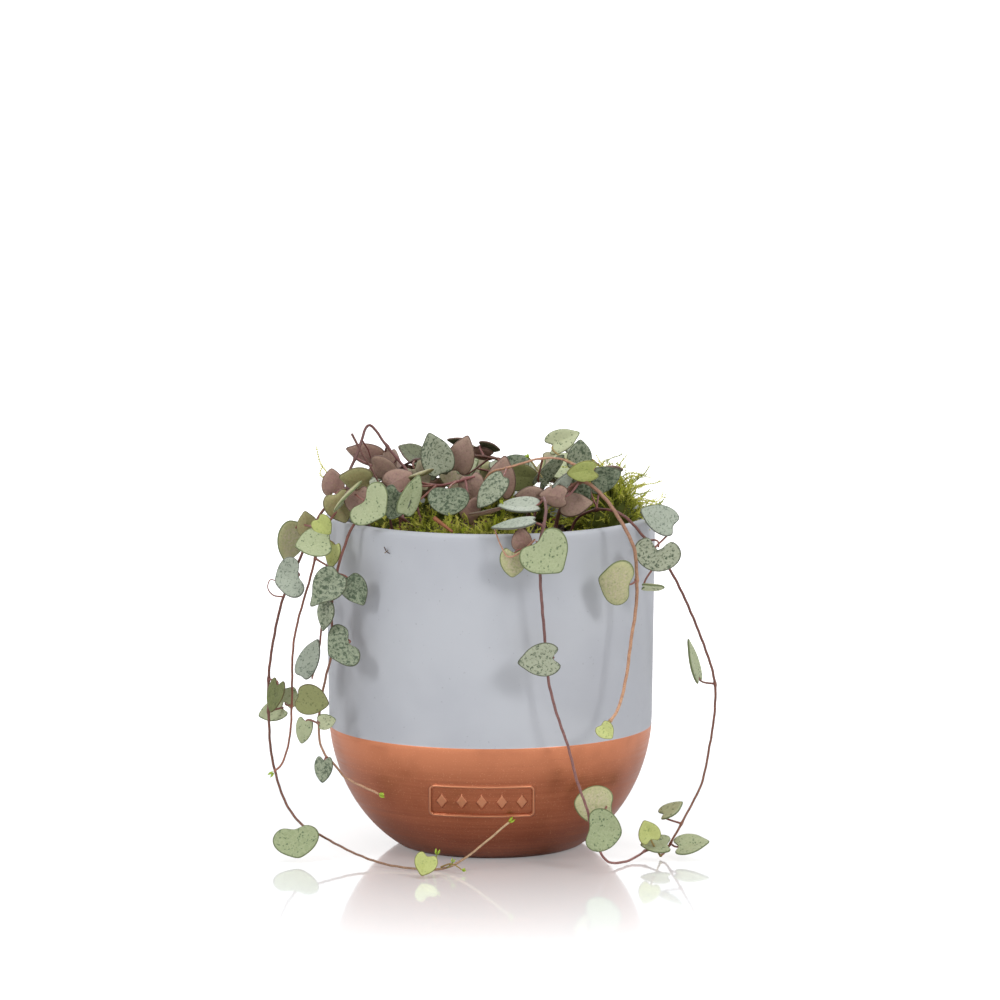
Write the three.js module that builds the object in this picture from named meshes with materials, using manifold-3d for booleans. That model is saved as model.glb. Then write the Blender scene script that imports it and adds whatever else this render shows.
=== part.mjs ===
// A string of hearts (a trailing succulent with heart-shaped leaves) growing in a small round-bottomed pot.
// Millimetres, +Z up. The origin is the centre of the pot's foot, on the surface that the pot stands on.
// The front, with the stamped plaque and the longest vines, faces -Y.
import * as THREE from "three";
import { mergeVertices } from "three/addons/utils/BufferGeometryUtils.js";
import Module from "manifold-3d";

// ---- Driving dimensions ----
const POT_HEIGHT = 131;
const RIM_RADIUS = 64.3; // outside, at the lip
const FLARE = 1.1; // how much wider the lip is than the foot of the upright wall
const WALL_RADIUS = RIM_RADIUS - FLARE; // outside, where the round bottom turns into the upright wall
const FOOT_RADIUS = 34.3; // the flat that the pot stands on
const BOWL_TOP = 54; // height at which the round bottom turns into the wall
const BOWL_DEPTH = 60; // vertical half axis of the round bottom's ellipse
const WALL = 4.5;
const FLOOR = 6;
const SOIL_DROP = 10; // from the lip down to the soil
const GAP = 0.3; // between pieces that touch

const PLAQUE_WIDTH = 41;
const PLAQUE_HEIGHT = 13.5;
const PLAQUE_CENTRE = { x: -3.3, z: 26.3 };
const PLAQUE_RAISED = 0.6;
const PLAQUE_BORDER = 1;
const PLAQUE_CORNER = 2.2;
const LOZENGE_COUNT = 5;
const LOZENGE_WIDTH = 4.4;
const LOZENGE_HEIGHT = 6;

const STEM_RADIUS = 0.6;
const PETIOLE_RADIUS = 0.5;
const PETIOLE_OVERLAP = 1.5; // how far the petiole runs into the blade
const LEAF_THICKNESS = 1.6;
const LEAF_SCALE = 1; // makes all the leaves larger or smaller

// The vines and leaves below were placed round a pot of this radius and height.
const PLACED_ROUND = { radius: 64.3, height: 131 };

// Facets: enough to hold the shape, and few enough for quick collision tests.
const POT_SIDES = 40;
const BOWL_STEPS = 7;
const STEM_SIDES = 5;
const STEM_STEP = 9;
const PETIOLE_SIDES = 4;
const PETIOLE_STEPS = 3;
const LEAF_SIDES = 12;

// ---- Materials ----
const paint = (color, roughness, metalness = 0) => ({ color, roughness, metalness });
const FINISHES = {
  greyPaint: paint(0xb9bcc4, 0.75),
  soil: paint(0x2e2119, 0.95),
  moss: paint(0x7d9022, 0.9),
  stem: paint(0x8a574a, 0.6),
  mottled: paint(0x8f9f86, 0.6),
  pale: paint(0xb4c294, 0.6),
  lime: paint(0xa5bf62, 0.6),
  plum: paint(0x8a665f, 0.6),
};

// ---- Solids ----
const wasm = await Module();
wasm.setup();

// A closed three.js geometry as a solid that can be joined and cut.
function solidOf(geometry) {
  const shape = geometry.clone();
  shape.deleteAttribute("normal");
  shape.deleteAttribute("uv");
  const merged = mergeVertices(shape, 1e-3);
  return new wasm.Manifold(
    new wasm.Mesh({
      numProp: 3,
      vertProperties: merged.attributes.position.array,
      triVerts: new Uint32Array(merged.index.array),
    }),
  );
}

function geometryOf(solid) {
  const mesh = solid.getMesh();
  const geometry = new THREE.BufferGeometry();
  geometry.setAttribute("position", new THREE.BufferAttribute(mesh.vertProperties, 3));
  geometry.setIndex(new THREE.BufferAttribute(mesh.triVerts, 1));
  geometry.computeVertexNormals();
  return geometry;
}

const plant = new THREE.Group();

function place(name, geometry, finish) {
  const mesh = new THREE.Mesh(geometry, new THREE.MeshStandardMaterial(FINISHES[finish]));
  mesh.name = name;
  plant.add(mesh);
}

// ---- The pot ----
// The outside of the pot, moved inwards by `inset`, as a radius at each height. The round bottom is part of an
// ellipse that meets the foot at FOOT_RADIUS and the wall at WALL_RADIUS.
function potRadius(z, inset) {
  const atFoot = Math.sqrt(1 - (BOWL_TOP / BOWL_DEPTH) ** 2);
  const bowlReach = (WALL_RADIUS - FOOT_RADIUS) / (1 - atFoot);
  if (z >= BOWL_TOP) {
    const up = Math.min(1, (z - BOWL_TOP) / (POT_HEIGHT - BOWL_TOP));
    return WALL_RADIUS + (RIM_RADIUS - WALL_RADIUS) * up - inset;
  }
  const drop = (BOWL_TOP - z) / (BOWL_DEPTH - inset);
  return WALL_RADIUS - bowlReach + (bowlReach - inset) * Math.sqrt(1 - drop * drop);
}

// Points up the round bottom, closer together near the foot where it curves most.
function bowlPoints(inset, bottom) {
  const points = [];
  for (let i = 0; i < BOWL_STEPS; i++) {
    const z = bottom + (BOWL_TOP - bottom) * (i / BOWL_STEPS) ** 1.4;
    points.push(new THREE.Vector2(potRadius(z, inset), z));
  }
  return points;
}

// A profile of [radius, height] points turned round the pot's upright axis.
function turnedSolid(points) {
  return solidOf(new THREE.LatheGeometry(points, POT_SIDES).rotateX(Math.PI / 2));
}

// A solid with the pot's outside, moved inwards by `inset`, from one height to another.
function potFilling(inset, bottom, top) {
  return turnedSolid([
    new THREE.Vector2(0, bottom),
    ...bowlPoints(inset, bottom),
    new THREE.Vector2(potRadius(BOWL_TOP, inset), BOWL_TOP),
    new THREE.Vector2(potRadius(top, inset), top),
    new THREE.Vector2(0, top),
  ]);
}

// The pot's wall with its rounded lip.
function potShell() {
  const lip = WALL / 2;
  const points = [new THREE.Vector2(0, 0), ...bowlPoints(0, 0)];
  points.push(new THREE.Vector2(potRadius(BOWL_TOP, 0), BOWL_TOP));
  const lipCentre = RIM_RADIUS - lip;
  for (let i = 0; i <= 4; i++) {
    const turn = (Math.PI * i) / 4;
    points.push(new THREE.Vector2(lipCentre + lip * Math.cos(turn), POT_HEIGHT - lip + lip * Math.sin(turn)));
  }
  points.push(new THREE.Vector2(potRadius(BOWL_TOP, WALL), BOWL_TOP));
  points.push(...bowlPoints(WALL, FLOOR).reverse());
  points.push(new THREE.Vector2(0, FLOOR));
  return turnedSolid(points);
}

function roundedRectangle(width, height, corner, PathClass) {
  const [x, y] = [width / 2, height / 2];
  const path = new PathClass();
  path.absarc(x - corner, y - corner, corner, 0, Math.PI / 2);
  path.absarc(corner - x, y - corner, corner, Math.PI / 2, Math.PI);
  path.absarc(corner - x, corner - y, corner, Math.PI, 1.5 * Math.PI);
  path.absarc(x - corner, corner - y, corner, 1.5 * Math.PI, 2 * Math.PI);
  path.closePath();
  return path;
}

// The raised plaque on the front of the round bottom: a border round a plain row of lozenges.
function plaque() {
  const border = roundedRectangle(PLAQUE_WIDTH, PLAQUE_HEIGHT, PLAQUE_CORNER, THREE.Shape);
  const inner = 2 * PLAQUE_BORDER;
  border.holes.push(
    roundedRectangle(
      PLAQUE_WIDTH - inner,
      PLAQUE_HEIGHT - inner,
      PLAQUE_CORNER - PLAQUE_BORDER,
      THREE.Path,
    ),
  );
  const shapes = [border];
  const pitch = (PLAQUE_WIDTH - inner) / LOZENGE_COUNT;
  for (let i = 0; i < LOZENGE_COUNT; i++) {
    const x = (i - (LOZENGE_COUNT - 1) / 2) * pitch;
    const lozenge = new THREE.Shape();
    lozenge.moveTo(x + LOZENGE_WIDTH / 2, 0);
    lozenge.lineTo(x, LOZENGE_HEIGHT / 2);
    lozenge.lineTo(x - LOZENGE_WIDTH / 2, 0);
    lozenge.lineTo(x, -LOZENGE_HEIGHT / 2);
    lozenge.closePath();
    shapes.push(lozenge);
  }
  const stamp = new THREE.ExtrudeGeometry(shapes, {
    depth: RIM_RADIUS,
    bevelEnabled: false,
    curveSegments: 3,
  });
  stamp.rotateX(Math.PI / 2);
  stamp.translate(PLAQUE_CENTRE.x, -WALL_RADIUS / 4, PLAQUE_CENTRE.z);
  return solidOf(stamp)
    .intersect(potFilling(-PLAQUE_RAISED, 0, BOWL_TOP))
    .subtract(potFilling(WALL / 2, 0, BOWL_TOP));
}

place("pot", geometryOf(potShell().add(plaque())), "greyPaint");

// ---- What fills it ----
const SOIL_TOP = POT_HEIGHT - SOIL_DROP;
place("potting_soil", geometryOf(potFilling(WALL + GAP, FLOOR + GAP, SOIL_TOP)), "soil");

// Cushions of moss that rest on the soil: [x, y, radius, height] of each hump.
const MOSS = {
  moss_right: [
    [47, -6, 11, 24],
    [46, 8, 12, 27],
    [39, 22, 11, 18],
  ],
  moss_front: [
    [-26, -41, 8.5, 11],
    [-13, -47, 8.5, 10],
    [2, -48, 9, 11],
    [15, -46, 8.5, 9],
    [27, -41, 8, 11],
  ],
  moss_back: [
    [16, 47, 9, 11],
    [2, 48, 9.5, 10],
    [-10, 48, 8.5, 8],
    [-26, 43, 9.5, 9],
    [-37, 33, 9, 11],
    [-45, 20, 9, 10],
  ],
};

// The plant grows with its pot: how large it is, against the plant that was placed.
const GROWTH = RIM_RADIUS / PLACED_ROUND.radius;

// Carries a point from the pot that the plant was placed round to the pot of the dimensions above: out with
// its rim, up from its lip, and down to the surface that it stands on.
function fitted([x, y, z]) {
  const above = z - PLACED_ROUND.height;
  const up = above > 0 ? POT_HEIGHT + above * GROWTH : (z * POT_HEIGHT) / PLACED_ROUND.height;
  return new THREE.Vector3(x * GROWTH, y * GROWTH, up);
}

// Each cushion is cut off at the soil and, where it meets the pot's wall, short of the wall.
function mossCushion(humps) {
  const ground = SOIL_TOP + GAP;
  const reach = potRadius(POT_HEIGHT, WALL + GAP);
  const mouth = new THREE.CylinderGeometry(reach, reach, POT_HEIGHT, POT_SIDES);
  mouth.rotateX(Math.PI / 2);
  mouth.translate(0, 0, ground + POT_HEIGHT / 2);
  let cushion = null;
  for (const [x, y, radius, height] of humps) {
    const hump = new THREE.SphereGeometry(1, 12, 7);
    hump.rotateX(Math.PI / 2);
    hump.scale(radius * GROWTH, radius * GROWTH, height * GROWTH);
    const at = fitted([x, y, 0]);
    hump.translate(at.x, at.y, ground);
    cushion = cushion ? cushion.add(solidOf(hump)) : solidOf(hump);
  }
  return cushion.intersect(solidOf(mouth));
}

for (const [name, humps] of Object.entries(MOSS)) place(name, geometryOf(mossCushion(humps)), "moss");

// ---- The vines ----
// Each route is a list of points chosen by hand, from the soil outwards. SOIL stands for the soil's surface.
const SOIL = "soil";
const ROUTES = {
  left_outer: [
    [-34, -8, SOIL], [-37, -10, 134], [-50, -18, 141], [-62, -25, 138], [-69, -30, 128], [-74, -32, 116],
    [-80, -30, 102], [-84, -26, 85], [-86, -24, 70], [-86, -22, 50], [-85, -22, 38], [-80, -24, 21],
    [-74, -28, 13], [-65, -36, 9], [-52, -46, 4], [-40, -55, 1.5], [-29, -61, 1], [-18, -61, 1],
    [-11, -60, 4], [-4, -58, 9], [7, -56, 18],
  ],
  left_middle: [
    [-30, -18, SOIL], [-34, -21, 132], [-47, -30, 139], [-58, -36, 137], [-65, -38, 127], [-69, -35, 112],
    [-76, -30, 85], [-77, -28, 60], [-78, -27, 46], [-81, -27, 36], [-84, -27, 33],
  ],
  left_inner: [
    [-25, -31, SOIL], [-31, -35, 131], [-42, -41, 137], [-51, -44, 134], [-57, -45, 121], [-61, -43, 103],
    [-61, -40, 83], [-64, -38, 70], [-66, -38, 58], [-66, -38, 47], [-64, -40, 42], [-60, -42, 38],
    [-56, -46, 34], [-49, -50, 31], [-43, -54, 29],
  ],
  left_short: [[-62.6, -41.6, 101], [-65, -37, 92], [-66, -33, 84], [-69, -30, 70]],
  front: [
    [12, -30, SOIL], [14, -33, 133], [19, -46, 142], [21, -57, 143], [21, -66, 138], [19, -70, 129],
    [19, -71, 116], [21, -69, 90], [22, -69, 77], [25, -69, 64], [30, -68, 49], [33, -67, 37],
    [37, -64, 25], [41, -60, 10], [45, -56, 3], [50, -50, 1.3], [55, -42, 1.3], [60, -34, 3],
  ],
  right_pink: [
    [24, -20, SOIL], [27, -24, 135], [35, -38, 148], [43, -48, 144], [50, -55, 135], [55, -58, 125],
    [56, -56, 116], [56, -55, 103], [54, -56, 89], [52, -57, 74], [49, -60, 63], [46, -64, 59],
  ],
  right_outer: [
    [31, -12, SOIL], [33, -17, 130], [42, -29, 136], [51, -38, 135], [59, -40, 127], [70, -34, 112],
    [83, -28, 82], [87, -26, 68], [87, -25, 56], [85, -25, 42], [82, -26, 28], [77, -28, 18],
    [72, -30, 9], [68, -32, 2.5], [66, -35, 1.2],
  ],
  crown_arch: [
    [-44, -26, SOIL], [-50, -26, 136], [-55, -27, 146], [-51, -20, 158], [-47, -15, 167], [-40, -17, 159],
    [-34, -19, 152], [-29, -24, 147], [-20, -34, 146], [-6, -38, 150],
  ],
  crown_middle: [
    [-38, 2, SOIL], [-40, -1, 138], [-36, -4, 149], [-26, -6, 158], [-13, -4, 161], [2, 0, 158],
    [15, 8, 153], [21, 19, 149], [15, 33, 142],
  ],
  crown_pale: [
    [-8, -24, SOIL], [-5, -30, 140], [0, -36, 151], [8, -40, 154], [18, -40, 157], [26, -38, 157],
    [33, -35, 154], [40, -30, 151],
  ],
};

// The vines at the back repeat the shape of those in front, turned round the pot's axis by these degrees.
const BACK = {
  back_left: { like: "left_middle", turn: -72 },
  back_middle: { like: "left_inner", turn: -118 },
  back_right: { like: "right_pink", turn: 98 },
};

const RADIANS = Math.PI / 180;
const UP = new THREE.Vector3(0, 0, 1);

function vineCurve(route, turn) {
  const points = route.map(([x, y, z]) => {
    const at = fitted([x, y, z === SOIL ? 0 : z]);
    if (z === SOIL) at.z = SOIL_TOP + GAP;
    return at.applyAxisAngle(UP, turn * RADIANS);
  });
  return new THREE.CatmullRomCurve3(points, false, "centripetal");
}

function tube(curve, radius, sides, steps) {
  const section = new THREE.Shape();
  for (let i = 0; i < sides; i++) {
    const turn = (2 * Math.PI * i) / sides;
    const [x, y] = [radius * Math.cos(turn), radius * Math.sin(turn)];
    if (i === 0) section.moveTo(x, y);
    else section.lineTo(x, y);
  }
  section.closePath();
  return solidOf(new THREE.ExtrudeGeometry(section, { steps, extrudePath: curve, bevelEnabled: false }));
}

// ---- The leaves ----
// The outline of a heart, `length` from notch to tip along -Y and `width` across, round the leaf's middle.
function heartOutline(length, width, sides) {
  const points = [];
  for (let i = 0; i < sides; i++) {
    const turn = (2 * Math.PI * i) / sides; // 0 at the notch
    const fromTip = Math.min(turn, 2 * Math.PI - turn) - Math.PI;
    const fromNotch = Math.min(turn, 2 * Math.PI - turn);
    const notch = 0.2 * Math.exp(-((fromNotch / 0.42) ** 2));
    const tip = 0.1 * Math.exp(-((fromTip / 0.4) ** 2));
    points.push([
      0.5 * width * Math.sin(turn) * (1 + 0.14 * Math.cos(turn)),
      length * (0.46 * Math.cos(turn) - notch - tip + 0.02),
    ]);
  }
  return points;
}

// How far the notch lies from the leaf's middle, as a share of its length, and how far the blade rises from its
// middle to its edge, as a share of its width.
const NOTCH_AT = 0.28;
const CUP = 0.05;

// A leaf's blade, lying flat with its tip along -Y and its upper face up: thick in the middle, thin at the edge,
// and a little cupped.
function bladeSolid(length, width) {
  const outline = heartOutline(length, width, LEAF_SIDES);
  const cup = CUP * width;
  const positions = [];
  const ring = (share, side, thickness) => {
    const first = positions.length / 3;
    for (const [x, y] of outline) {
      positions.push(x * share, y * share, cup * share * share + (side * thickness) / 2);
    }
    return first;
  };
  const middle = (side) => {
    positions.push(0, 0, (side * LEAF_THICKNESS) / 2);
    return positions.length / 3 - 1;
  };
  const [topMiddle, topRing] = [middle(1), ring(0.7, 1, LEAF_THICKNESS * 0.8)];
  const edge = ring(1, 0, 0);
  const [underRing, underMiddle] = [ring(0.7, -1, LEAF_THICKNESS * 0.8), middle(-1)];
  const faces = [];
  for (let i = 0; i < LEAF_SIDES; i++) {
    const next = (i + 1) % LEAF_SIDES;
    faces.push(topMiddle, topRing + next, topRing + i);
    faces.push(topRing + i, topRing + next, edge + next, topRing + i, edge + next, edge + i);
    faces.push(edge + i, edge + next, underRing + next, edge + i, underRing + next, underRing + i);
    faces.push(underMiddle, underRing + i, underRing + next);
  }
  const geometry = new THREE.BufferGeometry();
  geometry.setAttribute("position", new THREE.Float32BufferAttribute(positions, 3));
  geometry.setIndex(faces);
  return geometry;
}

// Which way a leaf faces. `tip` turns its tip from the right towards up, seen from the front; `lean` brings the
// tip forward; `roll` turns the blade about its own length: 0 shows the upper face, 180 the underside.
function leafBasis({ tip, lean, roll }) {
  const [a, b, r] = [tip * RADIANS, lean * RADIANS, roll * RADIANS];
  const along = new THREE.Vector3(Math.cos(a) * Math.cos(b), -Math.sin(b), Math.sin(a) * Math.cos(b));
  const face = new THREE.Vector3(0, -1, 0);
  face.addScaledVector(along, -face.dot(along)).normalize();
  face.applyAxisAngle(along, r);
  const back = along.negate();
  return new THREE.Matrix4().makeBasis(back.clone().cross(face), back, face);
}

// A leaf: its blade, and the petiole that comes from the nearest point of its vine to the notch. A leaf of its
// own node stops just short of the vine, and one that is joined to the vine starts inside it.
function leafSolid(leaf, curve, turn, joined) {
  const length = leaf.length * GROWTH * LEAF_SCALE;
  const width = leaf.width * GROWTH * LEAF_SCALE;
  const matrix = leafBasis(leaf).setPosition(fitted(leaf.at));
  matrix.premultiply(new THREE.Matrix4().makeRotationZ(turn * RADIANS));
  const blade = solidOf(bladeSolid(length, width).applyMatrix4(matrix));

  const onBlade = (y) => new THREE.Vector3(0, y, CUP * width * 0.6).applyMatrix4(matrix);
  const notch = onBlade(NOTCH_AT * length);
  let start = null;
  for (const at of curve.getSpacedPoints(400)) {
    if (!start || at.distanceTo(notch) < start.distanceTo(notch)) start = at;
  }
  const reach = start.distanceTo(notch);
  const outward = notch.clone().sub(start).divideScalar(reach);
  start = start.clone().addScaledVector(outward, joined ? -STEM_RADIUS / 2 : STEM_RADIUS + GAP);
  const path = new THREE.CubicBezierCurve3(
    start,
    start.clone().addScaledVector(outward, reach * 0.3),
    onBlade(NOTCH_AT * length + Math.min(3, reach * 0.3)),
    onBlade(NOTCH_AT * length - PETIOLE_OVERLAP),
  );
  return blade.add(tube(path, PETIOLE_RADIUS, PETIOLE_SIDES, PETIOLE_STEPS));
}

// Every leaf: name, vine, middle [x, y, z], length, width, tip, lean, roll, finish.
const LEAVES = [
  // over the left rim
  ["shield", "left_outer", [-77, -8, 121], 19, 15, -105, 0, 150, "pale"],
  ["saddle", "left_middle", [-67.5, -44, 124.5], 15, 13, 185, 10, 35, "pale"],
  ["peanut", "left_outer", [-77, -38, 110], 19, 11, -85, 10, 30, "pale"],
  ["grey", "left_middle", [-61, -50, 110], 17, 14, -130, 0, 15, "mottled"],
  ["dark", "left_inner", [-52, -50, 108], 15, 12, -60, 0, 15, "mottled"],
  ["slim", "left_inner", [-63, -47, 98], 14, 9, -100, 0, 50, "mottled"],
  ["bronze_pair", "left_inner", [-55, -48, 84], 12, 17, 15, 0, 15, "mottled"],
  ["silver", "left_short", [-70, -36, 78], 19, 10, -110, 0, 40, "mottled"],
  ["fold", "left_outer", [-83, -30, 64], 15, 10, -75, 0, 50, "mottled"],
  ["green", "left_inner", [-69, -46, 64], 14, 13, -15, 0, 15, "pale"],
  ["light", "left_outer", [-84, -16, 55], 13, 9, 200, 0, 30, "pale"],
  ["low", "left_inner", [-64, -48, 38], 12, 8, -95, 10, 30, "mottled"],
  ["floor_heart", "left_outer", [-75, -40, 7.5], 15, 18, -80, 35, 0, "pale"],
  ["floor_bright", "left_outer", [-25, -74, 5], 11, 9, -110, 40, 0, "lime"],
  // the crown, left of the middle
  ["crown_pink", "crown_arch", [-48, -5, 154], 16, 10, 165, 0, 155, "plum"],
  ["crown_plum", "crown_arch", [-42, -22, 151], 14, 10, -15, 0, 200, "plum"],
  ["crown_olive", "crown_arch", [-51, -34, 148], 14, 12, 170, 0, 150, "plum"],
  ["crown_oval", "crown_arch", [-61, -21, 145], 12, 9, 95, 0, 180, "plum"],
  ["crown_kidney", "crown_arch", [-46, -52, 141], 13, 19, -35, 0, 0, "pale"],
  ["crown_grey", "crown_arch", [-35, -48, 142], 16, 11, -110, 0, 20, "mottled"],
  ["crown_point", "crown_arch", [-27, -50, 144], 15, 9, -105, 0, 40, "pale"],
  ["crown_peanut", "crown_middle", [-21, -16, 155], 18, 13, -80, 0, 10, "mottled"],
  ["crown_purple", "crown_middle", [-10, -12, 154], 16, 12, 65, 0, 180, "plum"],
  ["crown_round", "crown_arch", [-16, -50, 142], 13, 16, -90, 0, 0, "mottled"],
  // the crown, right of the middle
  ["crown_silver", "crown_pale", [1, -48, 146], 18, 11, -130, 0, 30, "mottled"],
  ["crown_brown", "crown_pale", [4, -28, 147], 18, 12, 80, 0, 180, "plum"],
  ["crown_blade", "crown_pale", [22, -28.5, 150.6], 19, 8, 50, 0, 40, "mottled"],
  ["crown_bark", "right_pink", [25, -43, 143], 12, 9, 175, 0, 180, "plum"],
  ["crown_flat", "front", [12, -53.5, 139.5], 17, 14, 180, 0, 65, "mottled"],
  ["crown_lime", "crown_pale", [28, -15, 160], 13, 11, 25, 0, 30, "lime"],
  ["crown_light", "crown_pale", [36, -42, 153], 13, 10, 5, 0, -40, "pale"],
  // over the front and right rim
  ["rim_edge", "front", [10, -69, 135.5], 18, 13, 190, 0, 72, "mottled"],
  ["rim_beige", "front", [9, -72, 122], 13, 11, -95, 0, 165, "pale"],
  ["front_heart", "front", [21, -76, 126], 18, 20, -50, 0, 0, "pale"],
  ["right_silver", "right_outer", [66, -32, 132], 17, 13, -20, 0, -20, "mottled"],
  ["right_kidney", "right_outer", [64, -50, 121], 14, 18, -100, 0, 0, "mottled"],
  ["right_beige", "right_pink", [48, -62, 112], 19, 14, -55, 0, 165, "pale"],
  // down the front and right
  ["middle_heart", "front", [19, -75, 84], 16, 14, 195, 0, 0, "mottled"],
  ["low_beige", "front", [38, -52, 24], 17, 13, 175, 0, 195, "pale"],
  ["low_kidney", "front", [43, -66, 17], 14, 17, 0, 0, 0, "pale"],
  ["right_narrow", "right_outer", [79, -14, 73], 20, 12, 105, 0, 75, "pale"],
  ["floor_right", "right_outer", [77, -37, 5.5], 15, 12, 10, 0, -60, "pale"],
];

// Smaller leaves, and those behind, each joined to its vine: the same columns.
const JOINED = [
  ["small", "left_inner", [-72, -34, 51], 12, 7, -100, 0, 20, ""],
  ["lower_edge", "right_outer", [70, -24, 17], 12, 9, 30, 0, -65, ""],
  ["floor_left", "front", [65, -39, 6], 13, 10, 180, 0, 55, ""],
  ["bud", "right_pink", [44, -67, 56], 8, 7, -50, 0, 0, ""],
  ["dark_edge", "crown_middle", [-13, 3, 162], 10, 9, 160, 0, -50, ""],
  ["dark_fold", "crown_middle", [3, 6, 160], 11, 9, -10, 0, 60, ""],
  ["middle_high", "crown_middle", [10, 1, 160], 13, 12, 40, 0, -30, ""],
  ["middle_low", "crown_middle", [11, 16, 150], 15, 13, 150, 0, 50, ""],
  ["middle_side", "crown_middle", [29, 14, 154], 14, 13, 20, 0, -50, ""],
  ["middle_back", "crown_middle", [6, 28, 148], 15, 14, 160, 0, 55, ""],
  ["middle_tip", "crown_middle", [13, 43, 142], 12, 11, 10, 0, -40, ""],
  ["middle_left", "crown_middle", [-30, 8, 152], 14, 13, 150, 0, 60, ""],
  ["crown", "back_left", [-38, -34, 142], 14, 13, -100, 40, 0, ""],
  ["crown_side", "back_left", [-51, -22, 144], 14, 13, 120, 0, -40, ""],
  ["crown_start", "back_left", [-31, -28, 134], 13, 12, -60, 40, 10, ""],
  ["crown", "back_middle", [-37, -50, 141], 15, 14, -80, 30, 0, ""],
  ["crown_side", "back_middle", [-46, -33, 143], 14, 13, 100, 0, -50, ""],
  ["crown_start", "back_middle", [-23, -38, 135], 13, 12, 30, 0, -50, ""],
  ["crown", "back_right", [27, -36, 150], 15, 14, 200, 0, 50, ""],
  ["crown_side", "back_right", [44, -36, 151], 14, 13, 30, 0, -50, ""],
  ["crown_start", "back_right", [20, -30, 138], 14, 13, 180, 0, 50, ""],
  ["back_high", "back_left", [-62, -42, 112], 16, 15, -100, 0, 0, ""],
  ["back_low", "back_left", [-80, -36, 72], 15, 14, -80, 0, 20, ""],
  ["back_high", "back_middle", [-52, -51, 108], 16, 14, -60, 0, 10, ""],
  ["back_low", "back_middle", [-59, -48, 84], 14, 15, -110, 0, 20, ""],
  ["back_high", "back_right", [48, -63, 112], 16, 15, -120, 0, 0, ""],
  ["back_low", "back_right", [57, -63, 84], 14, 14, -70, 0, 10, ""],
];

const columns = ([name, vine, at, length, width, tip, lean, roll, finish]) => ({
  name, vine, at, length, width, tip, lean, roll, finish,
});

const vines = Object.entries(ROUTES).map(([name, route]) => ({ name, route, turn: 0 }));
for (const [name, { like, turn }] of Object.entries(BACK)) vines.push({ name, route: ROUTES[like], turn });

for (const { name, route, turn } of vines) {
  const curve = vineCurve(route, turn);
  const steps = Math.ceil(curve.getLength() / (STEM_STEP * GROWTH));
  let vine = tube(curve, STEM_RADIUS, STEM_SIDES, steps);
  for (const leaf of JOINED.map(columns)) {
    if (leaf.vine === name) vine = vine.add(leafSolid(leaf, curve, turn, true));
  }
  place("vine_" + name, geometryOf(vine), "stem");
  for (const leaf of LEAVES.map(columns)) {
    if (leaf.vine === name) place("leaf_" + leaf.name, geometryOf(leafSolid(leaf, curve, 0, false)), leaf.finish);
  }
}

export default plant;
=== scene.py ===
# %% [markdown]
# # A string of hearts in a copper-dipped pot
# A string of hearts is a small trailing succulent. Thin, wiry vines leave the soil, arch over the rim and hang,
# and pairs of fleshy heart-shaped leaves sit on short stalks along them. This one grows in a round-bottomed
# pot that is painted matte grey, with its base dipped in copper paint.
#
# The solid model settled the sizes and places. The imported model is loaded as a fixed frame, and each visible
# piece is then made again in finer detail where its solid lies. A few leaves and one vine are a little off
# their solids, where that looked better. All lengths below are typed in millimetres, and turned into metres when
# a mesh is made.

import math
import random

import bpy
import numpy as np
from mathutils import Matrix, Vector, noise as lumps


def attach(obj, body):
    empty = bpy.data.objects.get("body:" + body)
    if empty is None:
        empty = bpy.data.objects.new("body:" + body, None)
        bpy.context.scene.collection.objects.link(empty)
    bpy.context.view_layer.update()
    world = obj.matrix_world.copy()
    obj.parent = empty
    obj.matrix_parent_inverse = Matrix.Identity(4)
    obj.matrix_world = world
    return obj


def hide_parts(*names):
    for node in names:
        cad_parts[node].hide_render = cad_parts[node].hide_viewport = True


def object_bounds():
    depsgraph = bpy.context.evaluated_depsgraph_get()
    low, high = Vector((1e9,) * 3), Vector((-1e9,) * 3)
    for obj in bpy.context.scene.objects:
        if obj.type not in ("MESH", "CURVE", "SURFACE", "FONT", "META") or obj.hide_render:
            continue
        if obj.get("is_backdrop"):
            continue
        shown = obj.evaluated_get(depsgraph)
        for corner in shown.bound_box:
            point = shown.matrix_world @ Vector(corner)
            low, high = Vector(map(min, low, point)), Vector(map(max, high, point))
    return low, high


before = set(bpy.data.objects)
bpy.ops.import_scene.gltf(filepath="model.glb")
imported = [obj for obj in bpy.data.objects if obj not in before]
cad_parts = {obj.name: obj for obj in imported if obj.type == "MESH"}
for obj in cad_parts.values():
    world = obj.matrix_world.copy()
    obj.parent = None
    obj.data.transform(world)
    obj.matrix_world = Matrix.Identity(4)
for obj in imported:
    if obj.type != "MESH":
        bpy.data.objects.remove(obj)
cad_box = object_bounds()
MM = 0.001
print(len(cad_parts), "solids loaded; box", [[round(v, 3) for v in corner] for corner in cad_box])

# %% [markdown]
# ## Camera
# A small object looks best from some metres away through a long lens, which keeps upright sides parallel. The
# camera stands three metres in front, half a metre up, and looks a few degrees down, so the rim shows as a thin
# ellipse and the soil stays mostly hidden. Its place is in metres, as Blender's own values are.

# %% Camera
LOOKS_DOWN = 7.75  # degrees


def add_object(name, data):
    thing = bpy.data.objects.new(name, data)
    bpy.context.scene.collection.objects.link(thing)
    return thing


camera_data = bpy.data.cameras.new("studio_camera")
camera_data.lens = 279.5
camera_data.sensor_width = 36
camera_data.clip_end = 60
camera = add_object("studio_camera", camera_data)
camera.location = (0.00372, -3.0, 0.544)
camera.rotation_euler = (math.radians(90 - LOOKS_DOWN), 0, 0)
bpy.context.scene.camera = camera
print("camera lens", camera_data.lens, "mm")

# %% [markdown]
# ## Helpers for meshes
# Every piece is built from lists of points and faces. A small collector joins many little shapes, such as the
# fronds of a moss cushion, into one mesh, and keeps values for each point (how far along, which side, what
# tone) that the materials read later. One mesh of many parts loads faster than many objects.

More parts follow.
